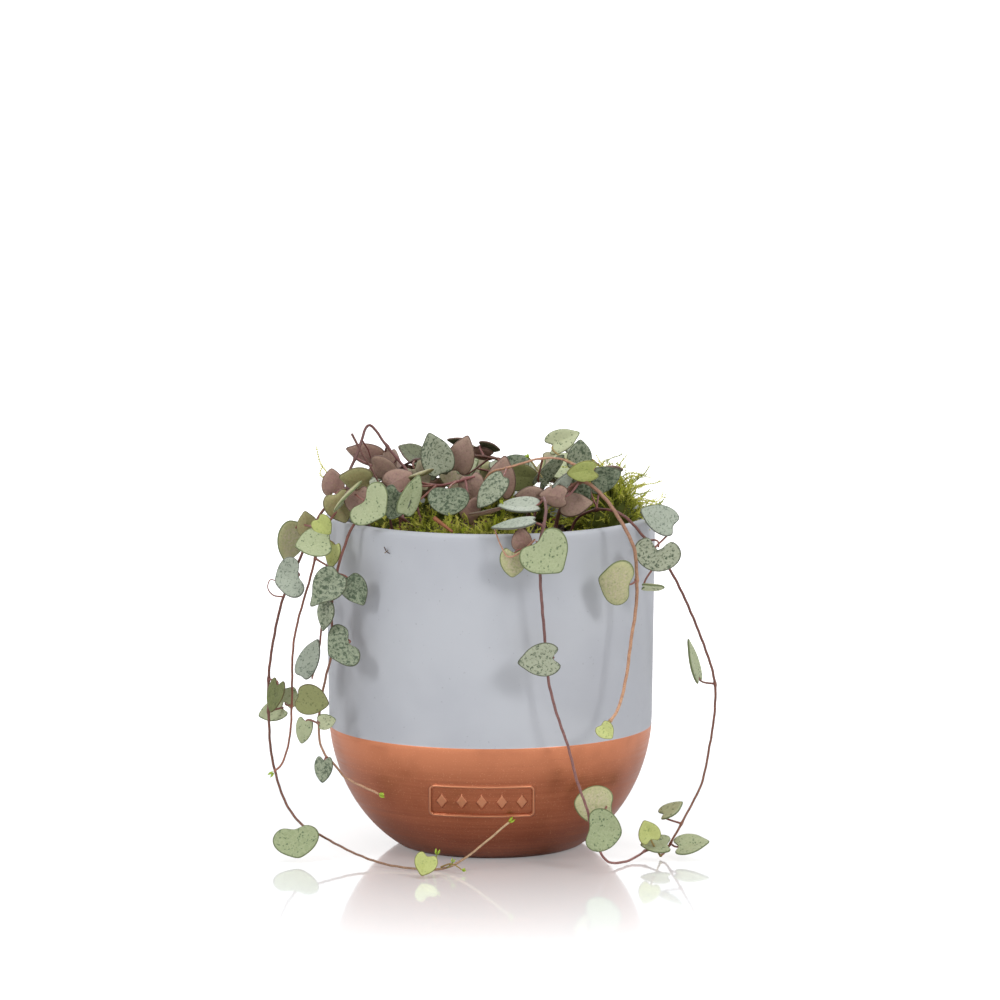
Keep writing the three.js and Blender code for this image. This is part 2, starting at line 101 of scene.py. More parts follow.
# %% A collector of shapes
class Collector:
    """Gathers shapes that become one mesh, with named values for each point."""

    def __init__(self):
        self.points, self.faces, self.finish, self.values, self.count = [], [], [], {}, 0

    def add(self, points, faces, finish=0, **values):
        points = np.asarray(points, float)
        self.points.append(points)
        self.faces.extend([tuple(int(i) + self.count for i in face) for face in faces])
        self.finish.extend([finish] * len(faces))
        for key, value in values.items():
            value = np.asarray(value, float)
            shape = (len(points),) + (value.shape[-1:] if value.size > 1 and value.shape[-1] == 3 else ())
            self.values.setdefault(key, []).append(np.broadcast_to(value, shape))
        self.count += len(points)

# %% [markdown]
# When a collector is full it becomes an object. The object is told which body of the part it rides on, which
# finishes it wears, and which solids it is drawn instead of.

# %% From a collector to a piece
def make_piece(name, heap, materials, stands_for=(), smooth=True):
    """Turns a collector into an object that rides on the part."""
    mesh = bpy.data.meshes.new(name)
    mesh.from_pydata((np.vstack(heap.points) * MM).tolist(), [], heap.faces)
    for key, chunks in heap.values.items():
        value = np.concatenate(chunks).astype(np.float32)
        vector = value.ndim == 2
        layer = mesh.attributes.new(key, "FLOAT_VECTOR" if vector else "FLOAT", "POINT")
        layer.data.foreach_set("vector" if vector else "value", value.ravel())
    for material in materials:
        mesh.materials.append(material)
    mesh.polygons.foreach_set("material_index", heap.finish)
    mesh.polygons.foreach_set("use_smooth", [smooth] * len(mesh.polygons))
    mesh.update()
    piece = add_object(name, mesh)
    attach(piece, "root")
    if stands_for:
        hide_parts(*stands_for)
    print(f"{name}: {len(mesh.polygons)} faces")

# %% Directions and rings
def unit(v):
    return v / max(np.linalg.norm(v), 1e-9)


def ring_faces(rings, sides):
    """Faces of a closed shape built of rings of points, with its two end points numbered after the rings."""
    faces = []
    for i in range(rings - 1):
        for j in range(sides):
            k = (j + 1) % sides
            faces.append((i * sides + j, i * sides + k, (i + 1) * sides + k, (i + 1) * sides + j))
    first, last, top = rings * sides, rings * sides + 1, (rings - 1) * sides
    for j in range(sides):
        k = (j + 1) % sides
        faces += [(first, k, j), (last, top + j, top + k)]
    return faces

# %% [markdown]
# A vine or a stalk is a round section carried along a path. The section is turned as little as possible from
# one ring to the next, so the tube never twists. Both ends are closed with a small dome.

# %% Tubes
DOME = 0.6  # how far a tube's end stands out, as a share of its radius


def sweep(path, radius, sides=8):
    """Points and faces of a closed round tube along a path, with a radius for each point of it."""
    path = np.asarray(path, float)
    radius = np.broadcast_to(np.asarray(radius, float), len(path))
    along = np.gradient(path, axis=0)
    along /= np.maximum(np.linalg.norm(along, axis=1), 1e-9)[:, None]
    helper = np.array((0, 0, 1.0)) if abs(along[0][2]) < 0.9 else np.array((1.0, 0, 0))
    side = unit(np.cross(along[0], helper))
    angle = np.linspace(0, 2 * np.pi, sides, endpoint=False)
    rings = []
    for centre, forward, r in zip(path, along, radius):
        side = unit(side - forward * side.dot(forward))
        other = np.cross(forward, side)
        rings.append(centre + r * (np.cos(angle)[:, None] * side + np.sin(angle)[:, None] * other))
    ends = [path[0] - along[0] * radius[0] * DOME, path[-1] + along[-1] * radius[-1] * DOME]
    return np.vstack(rings + [ends]), ring_faces(len(path), sides)

# %% [markdown]
# A route is typed as a few points and has to become a smooth curve. A Bezier curve needs handles as well as
# points. A Catmull-Rom curve only needs the points, and in its centripetal form it doesn't overshoot them.

# %% Smooth routes
def smooth_route(points, per_span=16):
    """A centripetal Catmull-Rom curve: it goes through every point and never loops between two of them."""
    points = np.asarray(points, float)
    points = np.vstack([2 * points[0] - points[1], points, 2 * points[-1] - points[-2]])
    t = np.linspace(0, 1, per_span, endpoint=False)[:, None]
    spans = []
    for a, b, c, d in zip(points, points[1:], points[2:], points[3:]):
        ab, bc, cd = [math.sqrt(np.linalg.norm(q - p)) for p, q in ((a, b), (b, c), (c, d))]
        start = ((b - a) / ab - (c - a) / (ab + bc) + (c - b) / bc) * bc
        end = ((c - b) / bc - (d - b) / (bc + cd) + (d - c) / cd) * bc
        spans.append(b + start * t + (3 * (c - b) - 2 * start - end) * t**2 + (2 * (b - c) + start + end) * t**3)
    return np.vstack(spans + [points[-2:-1]])


def even_steps(path, step):
    """The same path with its points a fixed distance apart, and how far along each lies."""
    run = np.concatenate([[0], np.cumsum(np.linalg.norm(np.diff(path, axis=0), axis=1))])
    at = np.linspace(0, run[-1], max(3, int(run[-1] / step) + 1))
    return np.stack([np.interp(at, run, path[:, k]) for k in range(3)], axis=1), at

# %% [markdown]
# ## Helpers for materials
# A material is a small network of nodes. These helpers shorten the typing: one turns an everyday colour (0 to
# 255) into the linear numbers that a renderer wants, and one makes nodes, sets their values and wires them.

# %% Everyday colours
def srgb(r, g, b):
    """An everyday colour as linear numbers."""
    return [c / 12.92 if c <= 0.04045 else ((c + 0.055) / 1.055) ** 2.4 for c in (r / 255, g / 255, b / 255)]


def colour(r, g, b):
    return (*srgb(r, g, b), 1)

# %% Networks of nodes
class Network:
    """Adds nodes to a node tree, and wires them: inputs may be values or other nodes' sockets."""

    def __init__(self, tree):
        self.tree = tree

    def add(self, kind, settings=None, **inputs):
        node = self.tree.nodes.new(kind)
        for key, value in (settings or {}).items():
            setattr(node, key, value)
        for key, value in inputs.items():
            name = int(key[1:]) if key[0] == "i" and key[1:].isdigit() else key.replace("_", " ")
            socket = node.inputs[name]
            if isinstance(value, bpy.types.NodeSocket):
                self.tree.links.new(value, socket)
            else:
                socket.default_value = value
        return node

    def math(self, operation, a, b=0.0, clamp=False):
        return self.add("ShaderNodeMath", {"operation": operation, "use_clamp": clamp}, i0=a, i1=b).outputs[0]

    def mix(self, share, a, b, blend="MIX"):
        settings = {"data_type": "RGBA", "blend_type": blend}
        return self.add("ShaderNodeMix", settings, i0=share, i6=a, i7=b).outputs[2]

    def ramp(self, value, low, high, to_low=0.0, to_high=1.0):
        node = self.add("ShaderNodeMapRange", {"interpolation_type": "SMOOTHSTEP"}, i0=value)
        for i, number in enumerate((low, high, to_low, to_high)):
            node.inputs[i + 1].default_value = number
        return node.outputs[0]

    def noise(self, vector, scale, detail=2.0, roughness=0.5, distortion=0.0):
        node = self.add("ShaderNodeTexNoise", None, Vector=vector, Scale=scale, Detail=detail)
        node.inputs["Roughness"].default_value = roughness
        node.inputs["Distortion"].default_value = distortion
        return node.outputs[0]

    def point_value(self, name, output="Fac"):
        return self.add("ShaderNodeAttribute", {"attribute_name": name}).outputs[output]

# %% A new material
def new_material(name):
    material = bpy.data.materials.new(name)
    material.use_nodes = True
    net = Network(material.node_tree)
    return material, net, material.node_tree.nodes["Principled BSDF"]

# %% [markdown]
# Three effects turn up in several finishes, so each is a node group: fine grain (a gentle change of tone
# and a height for bumps), the marbling of a leaf, and brush lines that run round a turned shape. A group puts
# out only masks and heights; the shader itself stays in the material, where its plain values can be seen.

# %% A new node group
def new_group(name, inputs, outputs):
    group = bpy.data.node_groups.new(name, "ShaderNodeTree")
    for key, kind, default in inputs:
        socket = group.interface.new_socket(name=key, in_out="INPUT", socket_type=kind)
        if default is not None:
            socket.default_value = default
    for key in outputs:
        group.interface.new_socket(name=key, in_out="OUTPUT", socket_type="NodeSocketFloat")
    net = Network(group)
    return group, net, net.add("NodeGroupInput"), net.add("NodeGroupOutput")


NUMBER = "NodeSocketFloat"
PLACE = ("Place", "NodeSocketVector", None)

# %% Fine grain
fine_grain, net, given, made = new_group(
    "fine_grain", [PLACE, ("Size", NUMBER, 1.0)], ["Tone", "Height"])
finer = net.math("MULTIPLY", given.outputs["Size"], 3.7)
broad = net.noise(given.outputs["Place"], given.outputs["Size"], 2, 0.6)
small = net.noise(given.outputs["Place"], finer, 3, 0.65)
net.tree.links.new(broad, made.inputs["Tone"])
net.tree.links.new(net.math("ADD", net.math("MULTIPLY", broad, 0.4), net.math("MULTIPLY", small, 0.6)),
                   made.inputs["Height"])
print("group:", fine_grain.name)

# %% [markdown]
# The marbling is a noise that is cut off at a limit, so that it has clear patches, with its coordinates bent
# first, so that the patches look grown. Dots come from the cells of a Voronoi pattern, and veins from its edges.

# %% Leaf marbling
marbling, net, given, made = new_group(
    "leaf_marbling", [PLACE, ("Size", NUMBER, 1.0), ("Cover", NUMBER, 0.5)], ["Blotches", "Flecks", "Veins"])
warp = net.noise(given.outputs["Place"], 0.35, 2, 0.5)
shift = net.add("ShaderNodeVectorMath", {"operation": "SCALE"}, i0=warp, Scale=2.2).outputs[0]
bent = net.add("ShaderNodeVectorMath", {"operation": "ADD"}, i0=given.outputs["Place"], i1=shift).outputs[0]
spots = net.noise(bent, given.outputs["Size"], 3, 0.62, 0.6)
limit = net.math("SUBTRACT", 0.74, net.math("MULTIPLY", given.outputs["Cover"], 0.3))
blotch = net.math("MULTIPLY", net.math("SUBTRACT", spots, limit), 10, clamp=True)
cells = net.add("ShaderNodeTexVoronoi", {"feature": "F1"}, Vector=bent,
                Scale=net.math("MULTIPLY", given.outputs["Size"], 0.95)).outputs["Distance"]
dots = net.math("MULTIPLY", net.math("SUBTRACT", 0.42, cells), 5, clamp=True)
sparse = net.ramp(net.noise(given.outputs["Place"], 0.4, 2, 0.5), 0.42, 0.6)
web = net.add("ShaderNodeTexVoronoi", {"feature": "DISTANCE_TO_EDGE"}, Vector=bent, Scale=0.55).outputs["Distance"]
net.tree.links.new(blotch, made.inputs["Blotches"])
net.tree.links.new(net.math("MULTIPLY", dots, sparse), made.inputs["Flecks"])
net.tree.links.new(net.ramp(web, 0.0, 0.16, 1.0, 0.0), made.inputs["Veins"])
print("group:", marbling.name)

# %% Brush lines
brush_lines, net, given, made = new_group(
    "brush_lines", [PLACE, ("Fineness", NUMBER, 1.0)], ["Lines", "Patches"])
flat = net.add("ShaderNodeMapping", None, Vector=given.outputs["Place"])
flat.inputs["Scale"].default_value = (14, 14, 900)
lines = net.noise(flat.outputs[0], given.outputs["Fineness"], 4, 0.7)
net.tree.links.new(lines, made.inputs["Lines"])
net.tree.links.new(net.noise(given.outputs["Place"], 28, 3, 0.6), made.inputs["Patches"])
print("group:", brush_lines.name)

# %% [markdown]
# ## Paint on the pot
# The upper wall has a flat grey paint with a slight tooth: broad, faint clouds where the coat is thicker, a
# fine grain, and a few pinholes. The base has copper paint, put on with a brush while the pot turned, so thin
# lines run round it. Its colour is painted warmer and lighter near the top edge, a painted highlight, and darker
# towards the foot, a painted shade.

# %% Placing a group, and wiring a finish
def use_group(net, group, **inputs):
    node = net.add("ShaderNodeGroup", {"node_tree": group})
    for key, value in inputs.items():
        if isinstance(value, bpy.types.NodeSocket):
            net.tree.links.new(value, node.inputs[key])
        else:
            node.inputs[key].default_value = value
    return node


def place_and_grain(net, size):
    """Where each point lies on its object, and the fine grain there."""
    where = net.add("ShaderNodeTexCoord").outputs["Object"]
    return where, use_group(net, fine_grain, Place=where, Size=size)


def dress(net, shader, base, roughness, height, strength, distance_mm):
    """Gives a shader its colour, its roughness, and bumps of a height, strength and depth."""
    bumps = net.add("ShaderNodeBump", None, Height=height, Strength=strength, Distance=distance_mm * MM)
    for key, socket in (("Base Color", base), ("Roughness", roughness), ("Normal", bumps.outputs[0])):
        net.tree.links.new(socket, shader.inputs[key])

# %% Grey paint
grey_paint, net, shader = new_material("grey_paint_finish")
where, grain = place_and_grain(net, 260.0)
cloud = net.noise(where, 22, 3, 0.55)
tone = net.mix(net.ramp(cloud, 0.35, 0.65), colour(186, 189, 196), colour(194, 197, 203))
pinholes = net.ramp(net.noise(where, 900, 1, 0.4), 0.73, 0.8)
tone = net.mix(net.math("MULTIPLY", pinholes, 0.3), tone, colour(135, 137, 143))
dress(net, shader, tone, net.ramp(grain.outputs["Tone"], 0.2, 0.8, 0.5, 0.64), grain.outputs["Height"], 0.22, 0.12)
shader.inputs["Specular IOR Level"].default_value = 0.35
print("finish:", grey_paint.name)

# %% [markdown]
# Copper paint is not bare metal: flakes lie in a clear binder. So it is mostly, but not fully, metallic, its
# gloss is broad, and a fine noise paints lighter spots into the colour: painted glints of single flakes.

# %% Copper paint
copper_paint, net, shader = new_material("copper_paint_finish")
where = net.add("ShaderNodeTexCoord").outputs["Object"]
brushed = use_group(net, brush_lines, Place=where, Fineness=1.0)
height = net.add("ShaderNodeSeparateXYZ", None, i0=where).outputs["Z"]
# Painted shade: the copper colour darkens towards the foot, where the bowl faces the floor.
tone = net.mix(net.ramp(height, 0.0, 0.027), colour(138, 78, 54), colour(166, 98, 68))
# Painted highlight: the copper colour is lighter near the top edge of the dip.
tone = net.mix(net.ramp(height, 0.03, 0.048), tone, colour(216, 138, 100))
worn = net.point_value("worn")  # how high a point is on the plaque's ridges
# Painted highlight: the copper colour is lighter on the plaque's ridges.
tone = net.mix(net.ramp(worn, 0.1, 0.9, 0.0, 0.45), tone, colour(240, 176, 136))
# Painted shade: the copper colour is darker at the foot of each ridge.
ridge_foot_shade = net.math("MULTIPLY", net.ramp(worn, 0.02, 0.25, 0.0, 1.0), net.ramp(worn, 0.3, 0.55, 0.5, 0.0))
tone = net.mix(ridge_foot_shade, tone, colour(96, 48, 34))
# Painted glints: lighter spots where single flakes would catch the light.
flake_glints = net.ramp(net.noise(where, 1700, 2, 0.6), 0.58, 0.74)
tone = net.mix(net.math("MULTIPLY", flake_glints, 0.3), tone, colour(246, 182, 140))
tone = net.mix(net.ramp(brushed.outputs["Lines"], 0.35, 0.7, 0.0, 0.25), tone, colour(214, 136, 98))
tone = net.mix(net.ramp(brushed.outputs["Patches"], 0.5, 0.72, 0.0, 0.35), tone, colour(128, 66, 42))
lines = brushed.outputs["Lines"]
dress(net, shader, tone, net.ramp(lines, 0.25, 0.75, 0.27, 0.42), lines, 0.35, 0.1)
shader.inputs["Metallic"].default_value = 0.78
print("finish:", copper_paint.name)

# %% [markdown]
# ## The pot
# A pot is thrown or cast round one axis, so its shape is a profile turned round that axis. The round bottom is
# part of an ellipse that meets a flat foot and runs smoothly into an almost upright wall; the lip is rounded
# and the inside follows the outside. The edge of the copper coat is a real step a tenth of a millimetre
# high, which gives it the crisp line that dipping leaves.

# %% Pot profile
POT_HEIGHT, RIM_RADIUS, WALL_RADIUS, FOOT_RADIUS = 131, 64.3, 63.2, 34.3
POT_SIDES, SOIL_SIDES = 192, 120  # steps round the axis
BOWL_TOP, BOWL_DEPTH, WALL, FLOOR = 54, 60, 4.5, 6
SOIL_TOP = POT_HEIGHT - 10
DIP_LINE = 47.9  # how far up the copper paint goes
COAT = 0.12  # how thick the copper paint is
AT_FOOT = math.sqrt(1 - (BOWL_TOP / BOWL_DEPTH) ** 2)
BOWL_REACH = (WALL_RADIUS - FOOT_RADIUS) / (1 - AT_FOOT)


def pot_radius(z, inset=0.0):
    """How far the pot's outside is from its axis at a height, moved inwards by an inset."""
    if z >= BOWL_TOP:
        up = min(1, (z - BOWL_TOP) / (POT_HEIGHT - BOWL_TOP))
        return WALL_RADIUS + (RIM_RADIUS - WALL_RADIUS) * up - inset
    drop = (BOWL_TOP - z) / (BOWL_DEPTH - inset)
    return WALL_RADIUS - BOWL_REACH + (BOWL_REACH - inset) * math.sqrt(1 - drop * drop)


def turned(profile, segments):
    """A closed turned shape from a profile of (radius, height) that starts and ends on the axis."""
    angle = np.linspace(0, 2 * np.pi, segments, endpoint=False)
    inner = np.asarray(profile[1:-1], float)
    rings = [np.stack([r * np.cos(angle), r * np.sin(angle), np.full(segments, z)], 1) for r, z in inner]
    points = np.vstack(rings + [[(0, 0, profile[0][1]), (0, 0, profile[-1][1])]])
    return points, ring_faces(len(inner), segments)


print("the pot is", 2 * RIM_RADIUS, "mm across and", POT_HEIGHT, "mm tall")

# %% The pot
FOOT_EDGE = 0.8
BOWL_RINGS = 22
profile = [(0, 0), (FOOT_RADIUS - 9, 0), (FOOT_RADIUS - FOOT_EDGE, 0), (FOOT_RADIUS, FOOT_EDGE * 0.35)]
bowl_heights = [FOOT_EDGE + (DIP_LINE - FOOT_EDGE) * (i / BOWL_RINGS) ** 1.25 for i in range(BOWL_RINGS)]
profile += [(pot_radius(z) + COAT, z) for z in bowl_heights]
profile += [(pot_radius(DIP_LINE) + COAT, DIP_LINE - 0.15), (pot_radius(DIP_LINE) + COAT * 0.5, DIP_LINE)]
copper_rings = len(profile) - 1
wall_heights = (DIP_LINE + 0.12, 49, 50.5, 52, 54, 56, 60, 70, 85, 100, 112, 120, 125, 127.6)
profile += [(pot_radius(z), z) for z in wall_heights]
lip = WALL / 2
for i in range(1, 12):
    turn = math.pi * i / 12
    profile.append((RIM_RADIUS - lip + lip * math.cos(turn), POT_HEIGHT - lip + lip * math.sin(turn)))
inside_heights = (127, 122, 112, 90, 70, BOWL_TOP, 44, 34, 24, 16, 10, FLOOR + 1, FLOOR)
profile += [(pot_radius(z, WALL), z) for z in inside_heights] + [(0, FLOOR)]
heap = Collector()
heap.add(*turned(profile, POT_SIDES))
# The bowl's faces come first. The last faces close the ends, and every other one of them is under the foot.
heap.finish[:(copper_rings - 1) * POT_SIDES] = [1] * ((copper_rings - 1) * POT_SIDES)
heap.finish[-2 * POT_SIDES::2] = [1] * POT_SIDES
make_piece("painted_pot", heap, [grey_paint, copper_paint], ["pot"])

# %% [markdown]
# ## The stamped plaque
# The front of the base carries a small raised panel with a rounded border. Here it holds a plain row of
# lozenges. It could be cut with booleans, but a height field is cleaner: a fine grid is laid over the
# bowl, and each point is lifted by the height of the stamp there, with soft shoulders like pressed clay. How
# high a point is lifted is kept as a value that the copper finish uses for painted light: a painted highlight on
# the ridges, and painted shade beside them.

# %% The plaque's heights
PLAQUE = {"x": -3.3, "z": 26.3, "width": 41, "height": 13.5, "corner": 2.2, "border": 1.2, "raised": 0.95}
LOZENGES, LOZENGE_WIDTH, LOZENGE_HEIGHT = 5, 4.4, 6.0


def rise(distance, half_width, shoulder):
    """1 on a ridge, 0 away from it, with soft shoulders."""
    t = np.clip((half_width + shoulder - np.abs(distance)) / shoulder, 0, 1)
    return t * t * (3 - 2 * t)


half_w, half_h = PLAQUE["width"] / 2, PLAQUE["height"] / 2
MARGIN, COLUMNS, ROWS = 1.6, 260, 96
U, V = np.meshgrid(np.linspace(-half_w - MARGIN, half_w + MARGIN, COLUMNS),
                   np.linspace(-half_h - MARGIN, half_h + MARGIN, ROWS))
# How far each point is from the middle line of the rounded border.
corner = PLAQUE["corner"] - PLAQUE["border"] / 2
qx = np.abs(U) - (half_w - PLAQUE["border"] / 2 - corner)
qy = np.abs(V) - (half_h - PLAQUE["border"] / 2 - corner)
edge = np.hypot(np.maximum(qx, 0), np.maximum(qy, 0)) + np.minimum(np.maximum(qx, qy), 0) - corner
lift = PLAQUE["raised"] * rise(edge, PLAQUE["border"] * 0.22, 0.38)
pitch = (PLAQUE["width"] - 2 * PLAQUE["border"]) / LOZENGES
for i in range(LOZENGES):
    x = (i - (LOZENGES - 1) / 2) * pitch
    inside = np.abs(U - x) / (LOZENGE_WIDTH / 2) + np.abs(V) / (LOZENGE_HEIGHT / 2)
    lift = np.maximum(lift, PLAQUE["raised"] * 0.85 * np.clip((1.1 - inside) / 0.32, 0, 1) ** 0.7)
# The panel's ground lies a hair above the bowl, and sinks into it all round.
outside = np.maximum(np.abs(U) - half_w - 0.4, np.abs(V) - half_h - 0.4)
ground = 0.05 - 0.5 * np.clip(outside, 0, 1)
print("the stamp rises", round(float(lift.max()), 2), "mm")

# %% [markdown]
# The grid is laid on the bowl twice, once with its heights and once inside the wall, and the two are joined
# round their borders. That makes a closed slab whose rear nobody sees.

# %% The plaque's mesh
def on_bowl(x, z, out):
    radius = np.vectorize(pot_radius)(z) + COAT + out
    return np.stack([x, -np.sqrt(radius**2 - x**2), z], -1)


BURIED = -1.2  # how deep the plaque's rear lies in the wall
front = on_bowl(U + PLAQUE["x"], V + PLAQUE["z"], ground + lift).reshape(-1, 3)
rear = on_bowl(U + PLAQUE["x"], V + PLAQUE["z"], np.full(U.shape, BURIED)).reshape(-1, 3)
faces = []
behind = ROWS * COLUMNS
for r in range(ROWS - 1):
    for c in range(COLUMNS - 1):
        a, b = r * COLUMNS + c, (r + 1) * COLUMNS + c
        faces += [(a, a + 1, b + 1, b), (a + behind, b + behind, b + behind + 1, a + behind + 1)]
border = list(range(COLUMNS)) + [r * COLUMNS + COLUMNS - 1 for r in range(1, ROWS)]
border += [(ROWS - 1) * COLUMNS + c for c in range(COLUMNS - 2, -1, -1)]
border += [r * COLUMNS for r in range(ROWS - 2, 0, -1)]
for a, b in zip(border, border[1:] + border[:1]):
    faces.append((a, a + behind, b + behind, b))
heap = Collector()
# How high each point is lifted, kept for the painted highlight on the ridges and the painted shade beside them; the
# rear gets none.
worn = np.clip(lift / PLAQUE["raised"], 0, 1).ravel()
heap.add(np.vstack([front, rear]), faces, worn=np.concatenate([worn, worn * 0]))
make_piece("stamped_plaque", heap, [copper_paint])

# %% [markdown]
# ## Soil
# Potting mix is crumbly: dark fibre, lumps and a few chips of bark. The surface is a turned body whose top is
# roughened in the mesh, and loose crumbs and chips lie on it as real shapes, because a bump in a material
# would look flat where the soil meets the rim.

# %% Soil finish
soil_finish, net, shader = new_material("potting_soil_finish")
where, grain = place_and_grain(net, 420.0)
tone = net.mix(net.ramp(grain.outputs["Height"], 0.3, 0.7), colour(30, 22, 17), colour(82, 60, 44))
chips = net.point_value("chip")
tone = net.mix(chips, tone, net.mix(grain.outputs["Tone"], colour(120, 66, 34), colour(186, 120, 70)))
dress(net, shader, tone, net.ramp(grain.outputs["Tone"], 0.2, 0.8, 0.8, 0.95), grain.outputs["Height"], 0.6, 0.5)
print("finish:", soil_finish.name)

# %% Soil surface
def rough(x, y, size, amount):
    """A smooth random height at a place in the ground plan."""
    return amount * lumps.fractal(Vector((x / size, y / size, 3.7)), 0.7, 2.1, 4)


FIT = 0.3  # the soil's and the moss's gap to the wall
soil_rings = [pot_radius(SOIL_TOP, WALL + FIT) * share for share in np.linspace(0.03, 1.0, 44)]
soil_profile = [(0, FLOOR + 0.5)] + [(pot_radius(z, WALL + FIT), z) for z in (7, 12, 20, 32, 46, 60, 90, 114)]
soil_profile += [(r, SOIL_TOP - 0.4) for r in reversed(soil_rings)] + [(0, SOIL_TOP)]
points, faces = turned(soil_profile, SOIL_SIDES)
for p in points:
    if p[2] > SOIL_TOP - 2:
        p[2] += rough(p[0], p[1], 9, 1.1) + rough(p[0] + 40, p[1], 2.2, 0.5)
heap = Collector()
heap.add(points, faces, chip=0.0)
print("soil surface:", len(faces), "faces before its crumbs")

# %% Crumbs and chips of bark
rng = random.Random(11)


def crumb(heap, centre, size, flat, chip, rng):
    """A small irregular lump, or a flat chip of bark when it is squashed."""
    points, rings, sides = [], 5, 6
    for i in range(rings):
        polar = math.pi * (i + 0.5) / rings
        for j in range(sides):
            turn = 2 * math.pi * j / sides + 0.4 * i
            r = size * rng.uniform(0.75, 1.2)
            points.append((r * math.sin(polar) * math.cos(turn), r * math.sin(polar) * math.sin(turn) * flat[0],
                           r * math.cos(polar) * flat[1]))
    points += [(0, 0, size * flat[1]), (0, 0, -size * flat[1])]
    spin, tilt = rng.uniform(0, 2 * math.pi), rng.uniform(-0.5, 0.5)
    points = np.array(points) @ np.array(((1, 0, 0), (0, math.cos(tilt), math.sin(tilt)),
                                          (0, -math.sin(tilt), math.cos(tilt))))
    points = points @ np.array(((math.cos(spin), math.sin(spin), 0), (-math.sin(spin), math.cos(spin), 0), (0, 0, 1)))
    # The rings run from the top down, so the faces are turned over.
    faces = [face[:1] + face[:0:-1] for face in ring_faces(rings, sides)]
    heap.add(points + np.array(centre), faces, chip=chip)


# how many, how far from the axis, sizes, how far a big one stands proud, a fixed lift, flatness, and 1 for bark
for count, spread, sizes, proud, raised, flat, chip in ((420, 57.5, (0.5, 1.7), 0.3, 0, (0.9, 0.8), 0.0),
                                                        (46, 54, (1.2, 3.0), 0, 1.2, (0.35, 0.16), 1.0)):
    for _ in range(count):
        turn, r = rng.uniform(0, 2 * math.pi), spread * math.sqrt(rng.random())
        size = rng.uniform(*sizes)
        centre = (r * math.cos(turn), r * math.sin(turn), SOIL_TOP + size * proud + raised)
        crumb(heap, centre, size, flat, chip, rng)
make_piece("soil_surface", heap, [soil_finish], ["potting_soil"])

# %% [markdown]
# ## Moss
# The soil is dressed with feather moss. Each frond is a thin, curved stem with two rows of tiny leaves, and a
# cushion is hundreds of fronds over a dark mat. Hair particles could do this, but real fronds catch the light
# on their own small faces and can be exported as a mesh, so each one is built: a tapering stem, and slim
# four-sided leaflets that shorten towards the tip.

# %% Moss finish
moss_finish, net, shader = new_material("moss_finish")
where, grain = place_and_grain(net, 300.0)
tone, tip = net.point_value("tone"), net.point_value("tip")
young = net.mix(tone, colour(164, 176, 44), colour(222, 218, 112))
old = net.mix(tone, colour(56, 64, 10), colour(130, 138, 30))
tone = net.mix(net.ramp(tip, 0.05, 0.75), old, young)
tone = net.mix(net.ramp(grain.outputs["Tone"], 0.55, 0.75, 0.0, 0.35), tone, colour(120, 92, 36))
height = grain.outputs["Height"]
dress(net, shader, tone, net.ramp(height, 0.3, 0.7, 0.6, 0.85), height, 0.3, 0.15)
shader.inputs["Specular IOR Level"].default_value = 0.25
print("finish:", moss_finish.name)

# %% Moss settings
# name: its solid, humps (x, y, radius, height), how many fronds, how long, how many sprigs on each
MOSS = {
    "right_moss": ("moss_right", [(47, -6, 11, 24), (46, 8, 12, 27), (39, 22, 11, 18)], 360, (8, 20), 0.3),
    "front_moss": ("moss_front", [(-26, -41, 8.5, 11), (-13, -47, 8.5, 10), (2, -48, 9, 11), (15, -46, 7, 7),
                                  (26, -42, 5, 4)], 300, (6, 12), 0.5),
    "back_moss": ("moss_back", [(16, 47, 9, 11), (2, 48, 9.5, 10), (-10, 48, 8.5, 8), (-26, 43, 9.5, 9),
                                (-37, 33, 9, 11), (-45, 20, 9, 10)], 300, (6, 12), 0.45),
}
MOUTH = RIM_RADIUS - WALL - FIT
LEAFLET_HALF_WIDTH, LEAFLET_THICKNESS = 0.2, 0.1
print(sum(settings[2] for settings in MOSS.values()), "fronds in", len(MOSS), "cushions")

# %% Leaflets
def leafy(heap, path, root_share, tip_share, long, tone, side, rng):
    """Two rows of small leaves along a stem; the shares say how far up the frond its ends are."""
    steps = len(path)
    along = unit(path[-1] - path[0])
    across = unit(np.cross(along, side + 0.01))
    for i in range(1, steps):
        share = root_share + (tip_share - root_share) * i / steps
        size = long * (1 - 0.5 * i / steps) * rng.uniform(0.7, 1.2)
        for sign in (-1, 1):
            out = unit(across * sign + along * rng.uniform(0.6, 1.3) + side * rng.uniform(-0.5, 0.5))
            wide = unit(np.cross(out, side + across * 0.3)) * LEAFLET_HALF_WIDTH
            thick = unit(np.cross(out, wide)) * LEAFLET_THICKNESS
            base, middle = path[i], path[i] + out * size * 0.42
            heap.add([base, middle + wide, middle - wide + thick, middle - thick, base + out * size],
                     [(0, 2, 1), (0, 3, 2), (0, 1, 3), (4, 1, 2), (4, 2, 3), (4, 3, 1)],
                     tip=[share, share, share, share, min(1, share + 0.35)], tone=tone)

